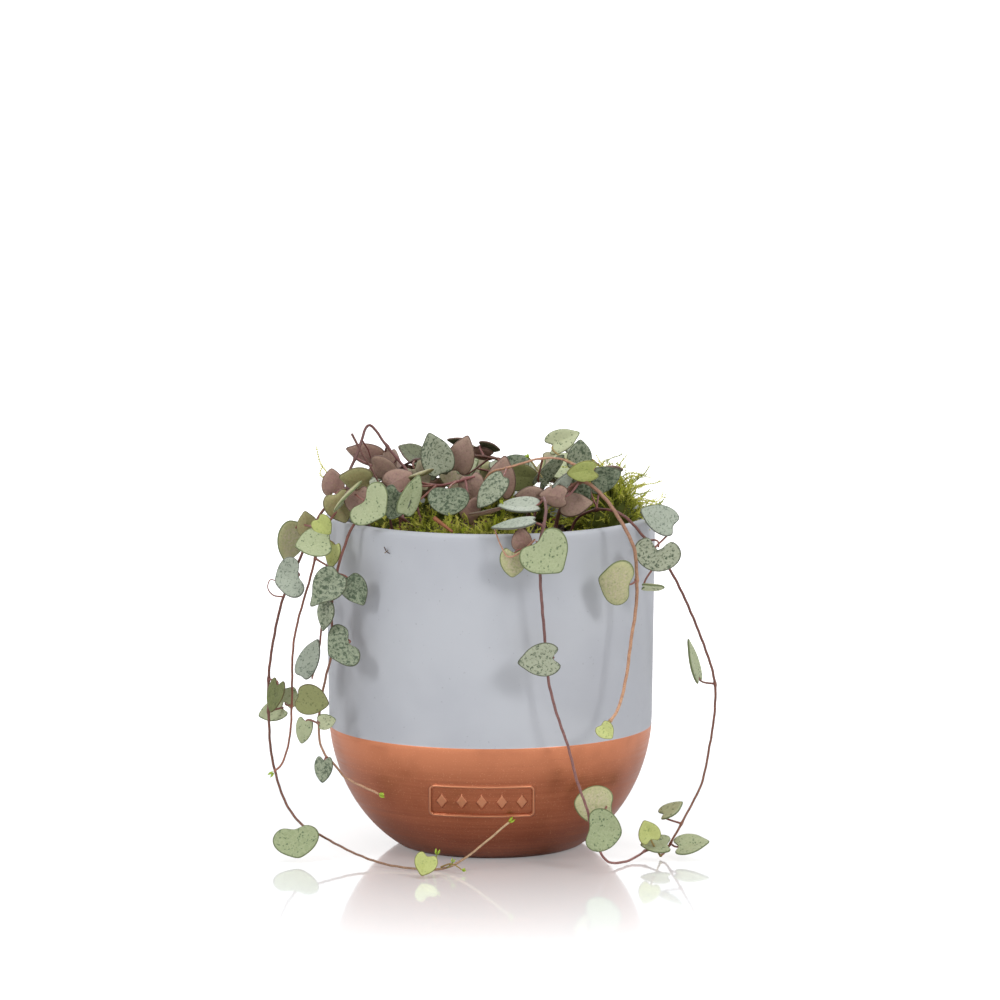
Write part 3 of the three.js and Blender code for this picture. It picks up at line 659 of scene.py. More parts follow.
# %% Fronds
def frond(heap, root, forward, length, sprigs, rng):
    """A curly moss stem with side sprigs, all set with two rows of small leaves."""
    tone = rng.random()
    steps = max(7, int(length / 0.9))
    side = unit(np.cross(forward, (rng.uniform(-1, 1), rng.uniform(-1, 1), 0.3)))
    other = np.cross(forward, side)
    s = np.linspace(0, 1, steps)[:, None]
    sag = np.array((0, 0, -1.0)) * rng.uniform(0.0, 0.45) + side * rng.uniform(-0.35, 0.35)
    turn, phase, swing = rng.uniform(3, 7), rng.uniform(0, 6.28), rng.uniform(0.04, 0.13) * length
    path = root + forward * length * s + sag * length * s**2
    path = path + (side * np.sin(turn * s + phase) + other * np.cos(turn * s + phase)) * swing * s
    heap.add(*sweep(path, np.linspace(0.27, 0.12, steps), 4), tip=np.concatenate([np.repeat(s[:, 0], 4), [0, 1]]),
             tone=tone)
    leafy(heap, path, 0, 1, 1.1, tone, side, rng)
    for i in range(2, steps - 1):
        if rng.random() < sprigs:
            reach = rng.uniform(1.6, 3.6) * (1 - 0.5 * i / steps)
            out = unit(side * rng.choice((-1, 1)) + (path[i + 1] - path[i]) * 1.1 + other * rng.uniform(-0.7, 0.7))
            t = np.linspace(0, 1, 4)[:, None]
            sprig = path[i] + out * reach * t + np.array((0, 0, 0.25)) * reach * t**2
            share = i / steps
            heap.add(*sweep(sprig, np.linspace(0.13, 0.06, 4), 3), tip=share, tone=tone)
            leafy(heap, sprig, share, min(1, share + 0.4), 0.95, tone, other, rng)

# %% [markdown]
# A cushion grows from a dark mat in the shape of its humps. Fronds are rooted at random over the humps and grow
# outwards and up. Those that would lean on the rim are turned upwards and kept short, and a few that point up
# anyway are let grow longer, which gives the cushion its loose outline.

# %% Moss cushions
# Two loose strands stand up at the left rim.
STRAYS = {"front_moss": [[(-60, -16, 134), (-62, -15, 141), (-62.6, -15, 147), (-66, -13, 152), (-67.5, -12, 158)],
                         [(-62.6, -15, 145), (-66, -16, 148), (-65, -15, 151)]]}


def cushion(name, node, humps, count, reach, sprigs, seed):
    """A dark mat in the shape of the humps, covered in fronds."""
    rng = random.Random(seed)
    heap = Collector()
    for x, y, radius, height in humps:
        points, segments, rings = [], 26, 9
        for i in range(rings):
            polar = 0.5 * math.pi * (1 - i / rings)
            for j in range(segments):
                turn = 2 * math.pi * j / segments
                swell = 0.86 + 0.16 * lumps.noise(Vector((x + 3 * math.cos(turn), y + 3 * math.sin(turn), i)))
                px = x + radius * swell * math.sin(polar) * math.cos(turn)
                py = y + radius * swell * math.sin(polar) * math.sin(turn)
                far = math.hypot(px, py)
                squeeze = min(1, MOUTH / far)
                points.append((px * squeeze, py * squeeze, SOIL_TOP + 0.3 + height * 0.9 * swell * math.cos(polar)))
        points += [(x, y, SOIL_TOP + 0.2), (x, y, SOIL_TOP + 0.3 + height * 0.82)]
        heap.add(points, ring_faces(rings, segments), tip=0.0, tone=0.1)
    weights = [radius * radius + radius * height for _, _, radius, height in humps]
    for _ in range(count):
        x, y, radius, height = rng.choices(humps, weights)[0]
        turn, polar = rng.uniform(0, 2 * math.pi), math.acos(rng.uniform(0.08, 1.0))
        normal = np.array((math.sin(polar) * math.cos(turn), math.sin(polar) * math.sin(turn), math.cos(polar)))
        root = np.array((x, y, SOIL_TOP)) + normal * np.array((radius, radius, height)) * 0.78
        far = math.hypot(root[0], root[1])
        if far > MOUTH - 1:
            root[:2] *= (MOUTH - 1) / far
        wander = np.array([rng.uniform(-0.7, 0.7) for _ in range(3)])
        forward = unit(normal + wander + (0, 0, 0.35))
        length = rng.uniform(*reach) * (0.75 if rng.random() < 0.6 else 1.0)
        end = root + forward * length
        if end[2] < POT_HEIGHT + 2 and math.hypot(end[0], end[1]) > MOUTH - 0.5:
            forward = unit(forward + (0, 0, 1.2) - 0.02 * np.array((root[0], root[1], 0)))
            length *= 0.7
        if forward[2] > 0.55 and rng.random() < 0.12:
            length *= 1.4
        frond(heap, root, forward, length, sprigs, rng)
    for route in STRAYS.get(name, []):
        path, _ = even_steps(smooth_route(route), 1.0)
        heap.add(*sweep(path, np.linspace(0.28, 0.14, len(path)), 4), tip=0.7, tone=0.8)
        leafy(heap, path, 0.5, 1, 1.3, 0.8, np.array((0.2, -0.9, 0.3)), rng)
    make_piece(name, heap, [moss_finish], [node], smooth=False)


for seed, (name, settings) in enumerate(MOSS.items(), 31):
    cushion(name, *settings, seed)

# %% [markdown]
# ## Vines
# Each vine follows the route of its solid, except for the middle one of the crown, which was lowered. Old
# growth is reddish brown and wiry, and young growth is paler. A vine tapers to its tip and swells at each node,
# where leaves are attached. So every vine has its own thickness and its own two tints, old and young, and the
# tint is stored at each point of the mesh.

# %% Vine routes
SOIL = SOIL_TOP + 0.3  # where a vine leaves the soil
ROUTES = {
    "left_outer": [(-34, -8, SOIL), (-37, -10, 134), (-50, -18, 141), (-62, -25, 138), (-69, -30, 128),
                   (-74, -32, 116), (-80, -30, 102), (-84, -26, 85), (-86, -24, 70), (-86, -22, 50),
                   (-85, -22, 38), (-80, -24, 21), (-74, -28, 13), (-65, -36, 9), (-52, -46, 4), (-40, -55, 1.5),
                   (-29, -61, 1), (-18, -61, 1), (-11, -60, 4), (-4, -58, 9), (7, -56, 18)],
    "left_middle": [(-30, -18, SOIL), (-34, -21, 132), (-47, -30, 139), (-58, -36, 137), (-65, -38, 127),
                    (-69, -35, 112), (-76, -30, 85), (-77, -28, 60), (-78, -27, 46), (-81, -27, 36), (-84, -27, 33)],
    "left_inner": [(-25, -31, SOIL), (-31, -35, 131), (-42, -41, 137), (-51, -44, 134), (-57, -45, 121),
                   (-61, -43, 103), (-61, -40, 83), (-64, -38, 70), (-66, -38, 58), (-66, -38, 47), (-64, -40, 42),
                   (-60, -42, 38), (-56, -46, 34), (-49, -50, 31), (-43, -54, 29)],
    "left_short": [(-62.6, -41.6, 101), (-65, -37, 92), (-66, -33, 84), (-69, -30, 70)],
    "front": [(12, -30, SOIL), (14, -33, 133), (19, -46, 142), (21, -57, 143), (21, -66, 138), (19, -70, 129),
              (19, -71, 116), (21, -69, 90), (22, -69, 77), (25, -69, 64), (30, -68, 49), (33, -67, 37),
              (37, -64, 25), (41, -60, 10), (45, -56, 3), (50, -50, 1.3), (55, -42, 1.3), (60, -34, 3)],
    "right_pink": [(24, -20, SOIL), (27, -24, 135), (35, -38, 148), (43, -48, 144), (50, -55, 135), (55, -58, 125),
                   (56, -56, 116), (56, -55, 103), (54, -56, 89), (52, -57, 74), (49, -60, 63), (46, -64, 59)],
    "right_outer": [(31, -12, SOIL), (33, -17, 130), (42, -29, 136), (51, -38, 135), (59, -40, 127), (70, -34, 112),
                    (83, -28, 82), (87, -26, 68), (87, -25, 56), (85, -25, 42), (82, -26, 28), (77, -28, 18),
                    (72, -30, 9), (68, -32, 2.5), (66, -35, 1.2)],
    "crown_arch": [(-44, -26, SOIL), (-50, -26, 136), (-55, -27, 146), (-51, -20, 158), (-47, -15, 167),
                   (-40, -17, 159), (-34, -19, 152), (-29, -24, 147), (-20, -34, 146), (-6, -38, 150)],
    "crown_middle": [(-38, 2, SOIL), (-40, -1, 138), (-36, -4, 148), (-26, -6, 153), (-13, -4, 154), (2, 0, 152),
                     (15, 8, 146), (21, 19, 143), (15, 33, 139)],
    "crown_pale": [(-8, -24, SOIL), (-5, -30, 140), (0, -36, 151), (8, -40, 154), (18, -40, 157), (26, -38, 157),
                   (33, -35, 154), (40, -30, 151)],
}
# The three vines at the back repeat front ones, turned about the pot's axis by so many degrees.
BACK = {"back_left": ("left_middle", -72), "back_middle": ("left_inner", -118), "back_right": ("right_pink", 98)}

# %% Vine tints
# name: thickness (radius), colour near the soil, colour near the tip, how late the change comes
TINTS = {
    "left_outer": (0.55, (126, 80, 68), (218, 190, 148), 5), "left_middle": (0.5, (142, 92, 78), (176, 116, 92), 2),
    "left_inner": (0.55, (128, 80, 70), (212, 172, 136), 3), "left_short": (0.45, (144, 94, 82), (168, 112, 92), 2),
    "front": (0.62, (118, 82, 78), (178, 130, 124), 1.6), "right_pink": (0.75, (100, 64, 58), (226, 176, 138), 1),
    "right_outer": (0.55, (118, 72, 66), (150, 104, 80), 2), "crown_arch": (0.6, (104, 70, 64), (150, 94, 92), 2),
    "crown_middle": (0.5, (96, 62, 52), (128, 84, 66), 2), "crown_pale": (0.5, (190, 148, 108), (208, 158, 132), 1),
    "back_left": (0.5, (124, 78, 70), (160, 106, 88), 2), "back_middle": (0.52, (122, 74, 66), (196, 146, 116), 3),
    "back_right": (0.55, (124, 80, 72), (196, 144, 116), 2),
}

# %% Smooth paths of the vines
def turned_about_axis(points, degrees):
    c, s = math.cos(math.radians(degrees)), math.sin(math.radians(degrees))
    return np.asarray(points, float) @ np.array(((c, s, 0), (-s, c, 0), (0, 0, 1)))


paths, turn_of = {}, {}
for name, route in ROUTES.items():
    paths[name], turn_of[name] = smooth_route(route), 0
for name, (like, degrees) in BACK.items():
    paths[name], turn_of[name] = turned_about_axis(smooth_route(ROUTES[like]), degrees), degrees
print(len(paths), "vines,", round(sum(even_steps(p, 1)[1][-1] for p in paths.values())), "mm in all")

# %% [markdown]
# ## Leaves
# A leaf is a fleshy heart: thick in the middle, round at its edge, a little cupped, with a groove where the
# midrib runs. It is drawn flat as rings round its middle, thickened, then bent: folded about the midrib, curled
# along its length and waved at the rim, so that no two are the same. A short stalk curves from the vine to
# the notch. Which way it faces is three angles: where the tip points, how far it leans out, and how it rolls.

# %% Outline of a heart
SIDES = 44
SHARES = [0.14, 0.3, 0.46, 0.6, 0.72, 0.82, 0.9, 0.96, 0.99]
NOTCH_AT, CUP, LEAF_THICKNESS = 0.28, 0.05, 1.35


def heart(cut, point, slit):
    """The outline of a heart of length and width 1, clockwise from the notch, seen from above."""
    turn = np.linspace(0, 2 * np.pi, SIDES, endpoint=False)
    from_notch = np.minimum(turn, 2 * np.pi - turn)
    from_tip = np.pi - from_notch
    x = 0.5 * np.sin(turn) * (1 + 0.14 * np.cos(turn))
    y = 0.46 * np.cos(turn) - cut * np.exp(-((from_notch / slit) ** 2)) - point * np.exp(-((from_tip / 0.36) ** 2))
    return x, y + 0.02

# %% Which way a leaf faces
def leaf_basis(tip, lean, roll):
    """The directions of a leaf's right side, back end and upper face."""
    a, b, r = math.radians(tip), math.radians(lean), math.radians(roll)
    along = np.array((math.cos(a) * math.cos(b), -math.sin(b), math.sin(a) * math.cos(b)))
    face = np.array((0.0, -1.0, 0.0))
    face = unit(face - along * face.dot(along))
    face = face * math.cos(r) + np.cross(along, face) * math.sin(r)
    return np.array((np.cross(-along, face), -along, face))

# %% [markdown]
# The blade is rings of that outline, each at a share of the full size: nine above, one at the rim and nine
# below. Their heights carry the cup, the fold, the curl and the wave. Where each point lies on the flat leaf is
# kept, moved by a random amount for each leaf, so that no two leaves show the same piece of the marbling.

# %% Leaf blade
def blade(length, width, shape, rng):
    """The points and faces of a leaf lying flat, tip along -Y and upper face up, with what its finish needs."""
    cut, point, fold, curl, wave, slit = shape
    x, y = heart(cut, point, slit)
    phase = rng.uniform(0, 6.28)
    angle = np.linspace(0, 2 * np.pi, SIDES, endpoint=False)

    def level(px, py, share):
        bowl = CUP * width * share**2
        folded = fold * np.sqrt(px**2 + 0.6) - fold * 0.77
        return bowl + folded + curl * (py / length) ** 2 * length + wave * share**3 * np.sin(3 * angle + phase)

    rings, upper, rim, place = [], [], [], []

    def ring(share, side):
        px, py = x * width * share, y * length * share
        thick = LEAF_THICKNESS * math.sqrt(max(0, 1 - share**7)) / 2
        rib = 0.16 * np.exp(-((px / 0.4) ** 2)) * (1 - share)
        pz = level(px, py, share) + side * (thick - (rib if side > 0 else -rib))
        rings.append(np.stack([px, py, pz], 1))
        upper.append(np.full(SIDES, 0.5 + 0.5 * side))
        rim.append(np.full(SIDES, share))
        place.append(np.stack([px, py, np.zeros(SIDES)], 1))

    for share in SHARES:
        ring(share, 1)
    ring(1.0, 0)
    for share in reversed(SHARES):
        ring(share, -1)
    middle = float(np.mean(level(np.zeros(SIDES), np.zeros(SIDES), 0.0)))
    points = np.vstack(rings + [[(0, 0, middle + LEAF_THICKNESS / 2 - 0.14), (0, 0, middle - LEAF_THICKNESS / 2)]])
    values = {
        "upper": np.concatenate(upper + [[1, 0]]), "rim": np.concatenate(rim + [[0, 0]]),
        "place": np.vstack(place + [[(0, 0, 0), (0, 0, 0)]]) + (0, 0, rng.uniform(0, 400)),
    }
    notch = float(level(np.zeros(SIDES), np.full(SIDES, NOTCH_AT * length), 0.8)[0])
    return points, ring_faces(len(rings), SIDES), values, notch

# %% Habits of the kinds
# What a leaf of each kind is like: notch, point, fold and curl, each a range, and the most that its rim waves.
HABITS = {
    "olive": ((0.12, 0.2), (0.05, 0.12), (0.04, 0.16), (-0.1, 0.12), 0.25),
    "silvery": ((0.14, 0.2), (0.04, 0.1), (0.0, 0.12), (-0.1, 0.12), 0.22),
    "mottled": ((0.2, 0.25), (0.04, 0.1), (0.0, 0.14), (-0.1, 0.12), 0.25),
    "pale": ((0.19, 0.24), (0.04, 0.1), (0.0, 0.1), (-0.08, 0.1), 0.22),
    "lime": ((0.16, 0.2), (0.08, 0.14), (0.12, 0.3), (-0.05, 0.15), 0.2),
    "plum": ((0.14, 0.19), (0.06, 0.12), (0.02, 0.12), (-0.1, 0.1), 0.2),
}

# %% Growing a leaf on its stalk
STALK_ALONG, STALK_RADII = (0, 0.12, 1), (0.58, 0.42, 0.36)
STALK_TINTS = {"plum": (146, 98, 94), "lime": (176, 156, 98)}
BLADE_TINT = (0.3, 0.1, 0.08)  # only stems show their tint, but every point of a mesh has to have one


def grow_leaf(heap, leaf, turn, path):
    """Adds one leaf and its stalk to a collector, and says where the stalk starts. `turn` is for the back vines."""
    name, _, centre, length, width, tip, lean, roll, kind = leaf[:9]
    rng = random.Random(name)
    cut, point, fold, curl, wave = HABITS[kind]
    shape = [rng.uniform(*cut), rng.uniform(*point), rng.uniform(*fold), rng.uniform(*curl), wave * rng.random(),
             rng.uniform(0.34, 0.46)]
    own = leaf[9] if len(leaf) > 9 else {}
    for i, key in enumerate(("cut", "point", "fold", "curl", "wave", "slit")):
        shape[i] = own.get(key, shape[i])
    basis = turned_about_axis(leaf_basis(tip, lean, roll), turn)
    centre = turned_about_axis([centre], turn)[0]
    points, faces, values, notch = blade(length, width, shape, rng)
    heap.add(points @ basis + centre, faces, tone=own.get("tone", rng.random()), tint=BLADE_TINT, **values)
    meets = np.array((0, NOTCH_AT * length, notch)) @ basis + centre
    start = path[np.argmin(np.linalg.norm(path - meets, axis=1))]
    reach = np.linalg.norm(meets - start)
    outward = (meets - start) / max(reach, 1e-6)
    last = np.array((0, NOTCH_AT * length - 1.3, notch * 0.8)) @ basis + centre
    handle = np.array((0, NOTCH_AT * length + min(3, reach * 0.3), notch)) @ basis + centre
    s = np.linspace(0, 1, 12)[:, None]
    curve = start * (1 - s) ** 3 + 3 * (start + outward * reach * 0.3) * s * (1 - s) ** 2
    curve = curve + 3 * handle * s**2 * (1 - s) + last * s**3
    heap.add(*sweep(curve, np.interp(s[:, 0], STALK_ALONG, STALK_RADII), 8), 1, tone=0.5,
             tint=srgb(*STALK_TINTS.get(kind, (150, 100, 88))), upper=0.5, rim=0.5, place=(0, 0, 0))
    return start

# %% [markdown]
# ## Leaf and vine finishes
# The upper face of a leaf is silver-green with a web of darker marbling; young leaves are lighter with only
# flecks. The underside is plain, from beige to plum. A thin dark line runs round the rim. All six leaf
# finishes are the same network with other colours, so one function makes them. The values stored at each
# point say which side it is on, how near the rim it is, and where on the leaf it lies, so the pattern stays
# with the leaf however it is turned.

# %% One network for the leaf finishes
def leaf_finish(name, top, light, dark, under, under_rim, edge, cover, blotches, flecks, size):
    material, net, shader = new_material(name + "_finish")
    place, tone = net.point_value("place", "Vector"), net.point_value("tone")
    upper, rim = net.point_value("upper"), net.point_value("rim")
    marks = use_group(net, marbling, Place=place, Size=size,
                      Cover=net.math("ADD", cover, net.math("MULTIPLY", net.math("SUBTRACT", 0.5, tone), 0.3)))
    grain = use_group(net, fine_grain, Place=place, Size=1.1)
    blotch, fleck, vein = marks.outputs["Blotches"], marks.outputs["Flecks"], marks.outputs["Veins"]
    top, light, dark, under, under_rim, edge = [colour(*c) for c in (top, light, dark, under, under_rim, edge)]
    face = net.mix(tone, top, light)
    for mark, strength, paint in ((vein, 0.25, light), (blotch, blotches, dark), (fleck, flecks, dark)):
        face = net.mix(net.math("MULTIPLY", mark, strength), face, paint)
    below = net.mix(net.ramp(grain.outputs["Tone"], 0.3, 0.7), under, under_rim)
    below = net.mix(net.ramp(rim, 0.55, 0.97), below, under_rim)
    for mark, strength, paint in ((fleck, 0.25, dark), (tone, 0.22, face), (vein, 0.12, dark)):
        below = net.mix(net.math("MULTIPLY", mark, strength), below, paint)
    skin = net.mix(net.ramp(upper, 0.4, 0.6), below, face)
    skin = net.mix(net.ramp(grain.outputs["Height"], 0.35, 0.7, 0.0, 0.16), skin, dark)
    skin = net.mix(net.ramp(rim, 0.925, 0.965, 0.0, 0.9), skin, edge)
    relief = net.math("ADD", net.math("MULTIPLY", grain.outputs["Height"], 0.8), net.math("MULTIPLY", vein, -0.35))
    dress(net, shader, skin, net.ramp(grain.outputs["Tone"], 0.2, 0.8, 0.4, 0.6), relief, 0.3, 0.25)
    shader.inputs["Specular IOR Level"].default_value = 0.4
    return material

# %% The leaf finishes
# kind: upper face, its lighter veins, blotches, underside, underside at the rim, rim line, then how much of the
# face the blotches cover, their strength, the flecks' strength, and the pattern's size
LEAF_FINISHES = {
    "mottled": leaf_finish("leaf_mottled", (134, 146, 120), (186, 190, 166), (66, 82, 60), (182, 162, 144),
                           (180, 170, 136), (74, 80, 58), 0.74, 0.9, 0.75, 0.8),
    "pale": leaf_finish("leaf_pale", (160, 172, 130), (198, 204, 166), (80, 102, 68), (200, 188, 156),
                        (190, 188, 138), (100, 112, 70), 0.3, 0.8, 0.85, 0.95),
    "lime": leaf_finish("leaf_lime", (168, 178, 92), (208, 214, 142), (112, 138, 62), (182, 184, 108),
                        (186, 192, 110), (122, 122, 56), 0.2, 0.5, 0.5, 1.0),
    "plum": leaf_finish("leaf_plum", (100, 108, 80), (140, 144, 116), (56, 60, 42), (162, 122, 117),
                        (172, 138, 123), (92, 66, 56), 0.6, 0.85, 0.6, 0.9),
    "olive": leaf_finish("leaf_olive", (112, 120, 72), (148, 152, 100), (70, 76, 42), (162, 146, 104),
                         (162, 156, 108), (94, 86, 50), 0.4, 0.7, 0.5, 0.9),
    "silvery": leaf_finish("leaf_silvery", (158, 168, 150), (190, 197, 182), (84, 100, 86), (180, 160, 144),
                           (180, 168, 144), (88, 92, 80), 0.55, 0.85, 0.7, 0.85),
}
print("leaf finishes:", ", ".join(LEAF_FINISHES))

# %% [markdown]
# Stems and stalks share one finish. Its colour comes from the tint that is stored on each mesh, made darker in
# small patches by the fine grain.

# %% Stem finish
stem_finish, net, shader = new_material("stem_finish")
where, grain = place_and_grain(net, 700.0)
tint = net.point_value("tint", "Color")
darker = net.mix(1.0, tint, (0.62, 0.55, 0.55, 1), "MULTIPLY")
tone = net.mix(net.ramp(grain.outputs["Height"], 0.35, 0.65), darker, tint)
dress(net, shader, tone, net.ramp(grain.outputs["Tone"], 0.3, 0.7, 0.42, 0.6), grain.outputs["Height"], 0.3, 0.1)
print("finish:", stem_finish.name)

# %% [markdown]
# ## The leaves, one by one
# These are the large leaves that can be told apart. Each stands for the solid of the same name. Most keep its
# place, size and angles, and a few were moved by some millimetres or turned. A few also have their own notch,
# point, fold or curl where the usual habit would not do.

# %% Large leaves
# name, vine, centre, length, width, then in degrees where the tip points, how far it leans and how it rolls,
# kind, and what is special to this leaf
LEAVES = [
    ("shield", "left_outer", (-77, -8, 121), 18, 13, -105, 0, 150, "pale", {"cut": 0.06}),
    ("saddle", "left_middle", (-67.5, -44, 124.5), 15, 13, 185, 10, 35, "pale",
     {"cut": 0.08, "fold": 0.2, "tone": 0.35}),
    ("peanut", "left_outer", (-77, -38, 110), 12, 19, 196, 0, 40, "pale", {"cut": 0.2, "tone": 0.3, "look": "silvery"}),
    ("grey", "left_middle", (-62, -50, 109.5), 16, 13, -130, 0, 15, "mottled",
     {"point": 0.24, "cut": 0.1, "tone": 0.2}),
    ("dark", "left_inner", (-52, -50, 108.5), 14, 11, -60, 0, 15, "mottled", {"tone": 0.0, "cut": 0.12}),
    ("slim", "left_inner", (-63, -47, 98), 13, 9, -100, 0, 45, "mottled", {"cut": 0.12, "tone": 0.4}),
    ("bronze_pair", "left_inner", (-56.5, -48, 85), 12, 19, 212, 0, 30, "mottled",
     {"cut": 0.25, "slit": 0.3, "tone": 0.1}),
    ("silver", "left_short", (-70, -36, 78), 18, 10, 65, 0, -38, "mottled",
     {"cut": 0.1, "look": "silvery", "tone": 0.3}),
    ("fold", "left_outer", (-83, -30, 64), 15, 9, -105, 0, 45, "mottled", {"tone": 0.0, "look": "olive"}),
    ("green", "left_inner", (-69, -46, 64.5), 14, 13, -15, 0, 15, "pale", {"look": "olive", "tone": 1.0, "cut": 0.1}),
    ("light", "left_outer", (-84, -16, 55), 13, 9, 200, 0, 30, "pale"),
    ("low", "left_inner", (-64, -48, 38), 12, 8, -95, 10, 30, "mottled"),
    ("floor_heart", "left_outer", (-75, -40, 7.5), 15, 18, -80, 35, 0, "pale", {"tone": 0.0, "cut": 0.14}),
    ("floor_bright", "left_outer", (-25, -74, 5), 11, 9, -110, 40, 0, "lime"),
    ("crown_pink", "crown_arch", (-48, -5, 154), 16, 10, 165, 0, 155, "plum"),
    ("crown_plum", "crown_arch", (-42, -22, 151), 14, 10, -15, 0, 200, "plum"),
    ("crown_olive", "crown_arch", (-51, -34, 148), 14, 12, 170, 0, 150, "plum", {"look": "olive"}),
    ("crown_oval", "crown_arch", (-61, -21, 145), 12, 9, 95, 0, 180, "plum"),
    ("crown_kidney", "crown_arch", (-46, -52, 141), 13, 19, -35, 0, 0, "pale", {"cut": 0.27}),
    ("crown_grey", "crown_arch", (-36, -47, 141.5), 15, 12, -110, 0, 20, "mottled", {"tone": 0.0}),
    ("crown_point", "crown_arch", (-31, -50, 143.5), 18, 10, 68, 0, 35, "pale", {"tone": 0.2, "cut": 0.1}),
    ("crown_peanut", "crown_middle", (-21, -16, 155), 18, 13, 108, 0, 10, "mottled",
     {"cut": 0.08, "point": 0.1, "tone": 0.55}),
    ("crown_purple", "crown_middle", (-11.5, -12, 154), 17, 11, 72, 0, 180, "plum"),
    ("crown_round", "crown_arch", (-16, -50, 142.5), 13, 16, -90, 0, 0, "mottled",
     {"cut": 0.12, "point": 0.03, "tone": 0.1}),
    ("crown_silver", "crown_pale", (1, -48, 146), 18, 10, -130, 0, 30, "mottled", {"cut": 0.1, "tone": 0.4}),
    ("crown_brown", "crown_pale", (4, -28, 147), 18, 12, 80, 0, 180, "plum"),
    ("crown_blade", "crown_pale", (22, -28.5, 150.6), 19, 8, 50, 0, 40, "mottled"),
    ("crown_bark", "right_pink", (25, -43, 143), 12, 9, 175, 0, 180, "plum"),
    ("crown_flat", "front", (12, -53.5, 140), 18, 14, 180, 0, 73, "mottled", {"look": "silvery", "cut": 0.12}),
    ("crown_lime", "crown_pale", (27.5, -15, 160.5), 15, 9.5, 26, 0, -25, "lime",
     {"fold": 0.4, "cut": 0.24, "tone": 1.0, "look": "pale"}),
    ("crown_light", "crown_pale", (36, -42, 153), 14, 10, 187, 0, -30, "pale", {"look": "lime", "tone": 0.3}),
    ("rim_edge", "front", (10, -69, 135.5), 19, 12, 190, 0, 80, "mottled", {"look": "silvery", "cut": 0.12}),
    ("rim_beige", "front", (9, -72, 122), 13, 11, -95, 0, 165, "pale"),
    ("front_heart", "front", (21, -76, 126), 18, 20, -50, 0, 0, "pale", {"fold": 0.02, "curl": 0.03}),
    ("right_silver", "right_outer", (65.5, -32, 132), 17, 13, 153, 0, 38, "mottled",
     {"look": "silvery", "cut": 0.16, "tone": 0.3}),
    ("right_kidney", "right_outer", (64, -50, 121.5), 15, 18, -100, 0, 0, "mottled",
     {"cut": 0.36, "slit": 0.3, "point": 0.0, "tone": 0.7}),
    ("right_beige", "right_pink", (48.5, -62, 112), 14, 19, 168, 0, 165, "pale", {"cut": 0.14}),
    ("middle_heart", "front", (19.5, -75, 84.5), 17, 13, 188, 0, 0, "mottled",
     {"cut": 0.22, "slit": 0.3, "point": 0.1, "tone": 0.7}),
    ("low_beige", "front", (40, -52, 24.5), 17, 15, 175, 0, 195, "pale", {"cut": 0.08, "point": 0.02, "tone": 1.0}),
    ("low_kidney", "front", (43, -66, 17), 16, 17, -8, 0, 0, "pale", {"cut": 0.16, "slit": 0.5, "point": 0.03}),
    ("right_narrow", "right_outer", (79, -14, 73), 20, 12, 105, 0, 75, "pale"),
    ("floor_right", "right_outer", (77, -37, 5.5), 15, 12, 10, 0, -60, "pale"),
]
print(len(LEAVES), "large leaves")

# %% Growing the large leaves
# Where each stalk starts is kept, because the vine swells there.
attached = {name: [] for name in paths}
for leaf in LEAVES:
    heap = Collector()
    attached[leaf[1]].append(grow_leaf(heap, leaf, 0, paths[leaf[1]]))
    look = leaf[9].get("look", leaf[8]) if len(leaf) > 9 else leaf[8]
    make_piece(leaf[0] + "_leaf", heap, [LEAF_FINISHES[look], stem_finish], ["leaf_" + leaf[0]])

# %% [markdown]
# ## Smaller leaves
# The rest of the leaves are small or half hidden: pairs along the vines at the back, and the many that fill
# the crown. They are grouped by finish and by vine, a group being one object, so that the whole plant stays
# easy to handle.

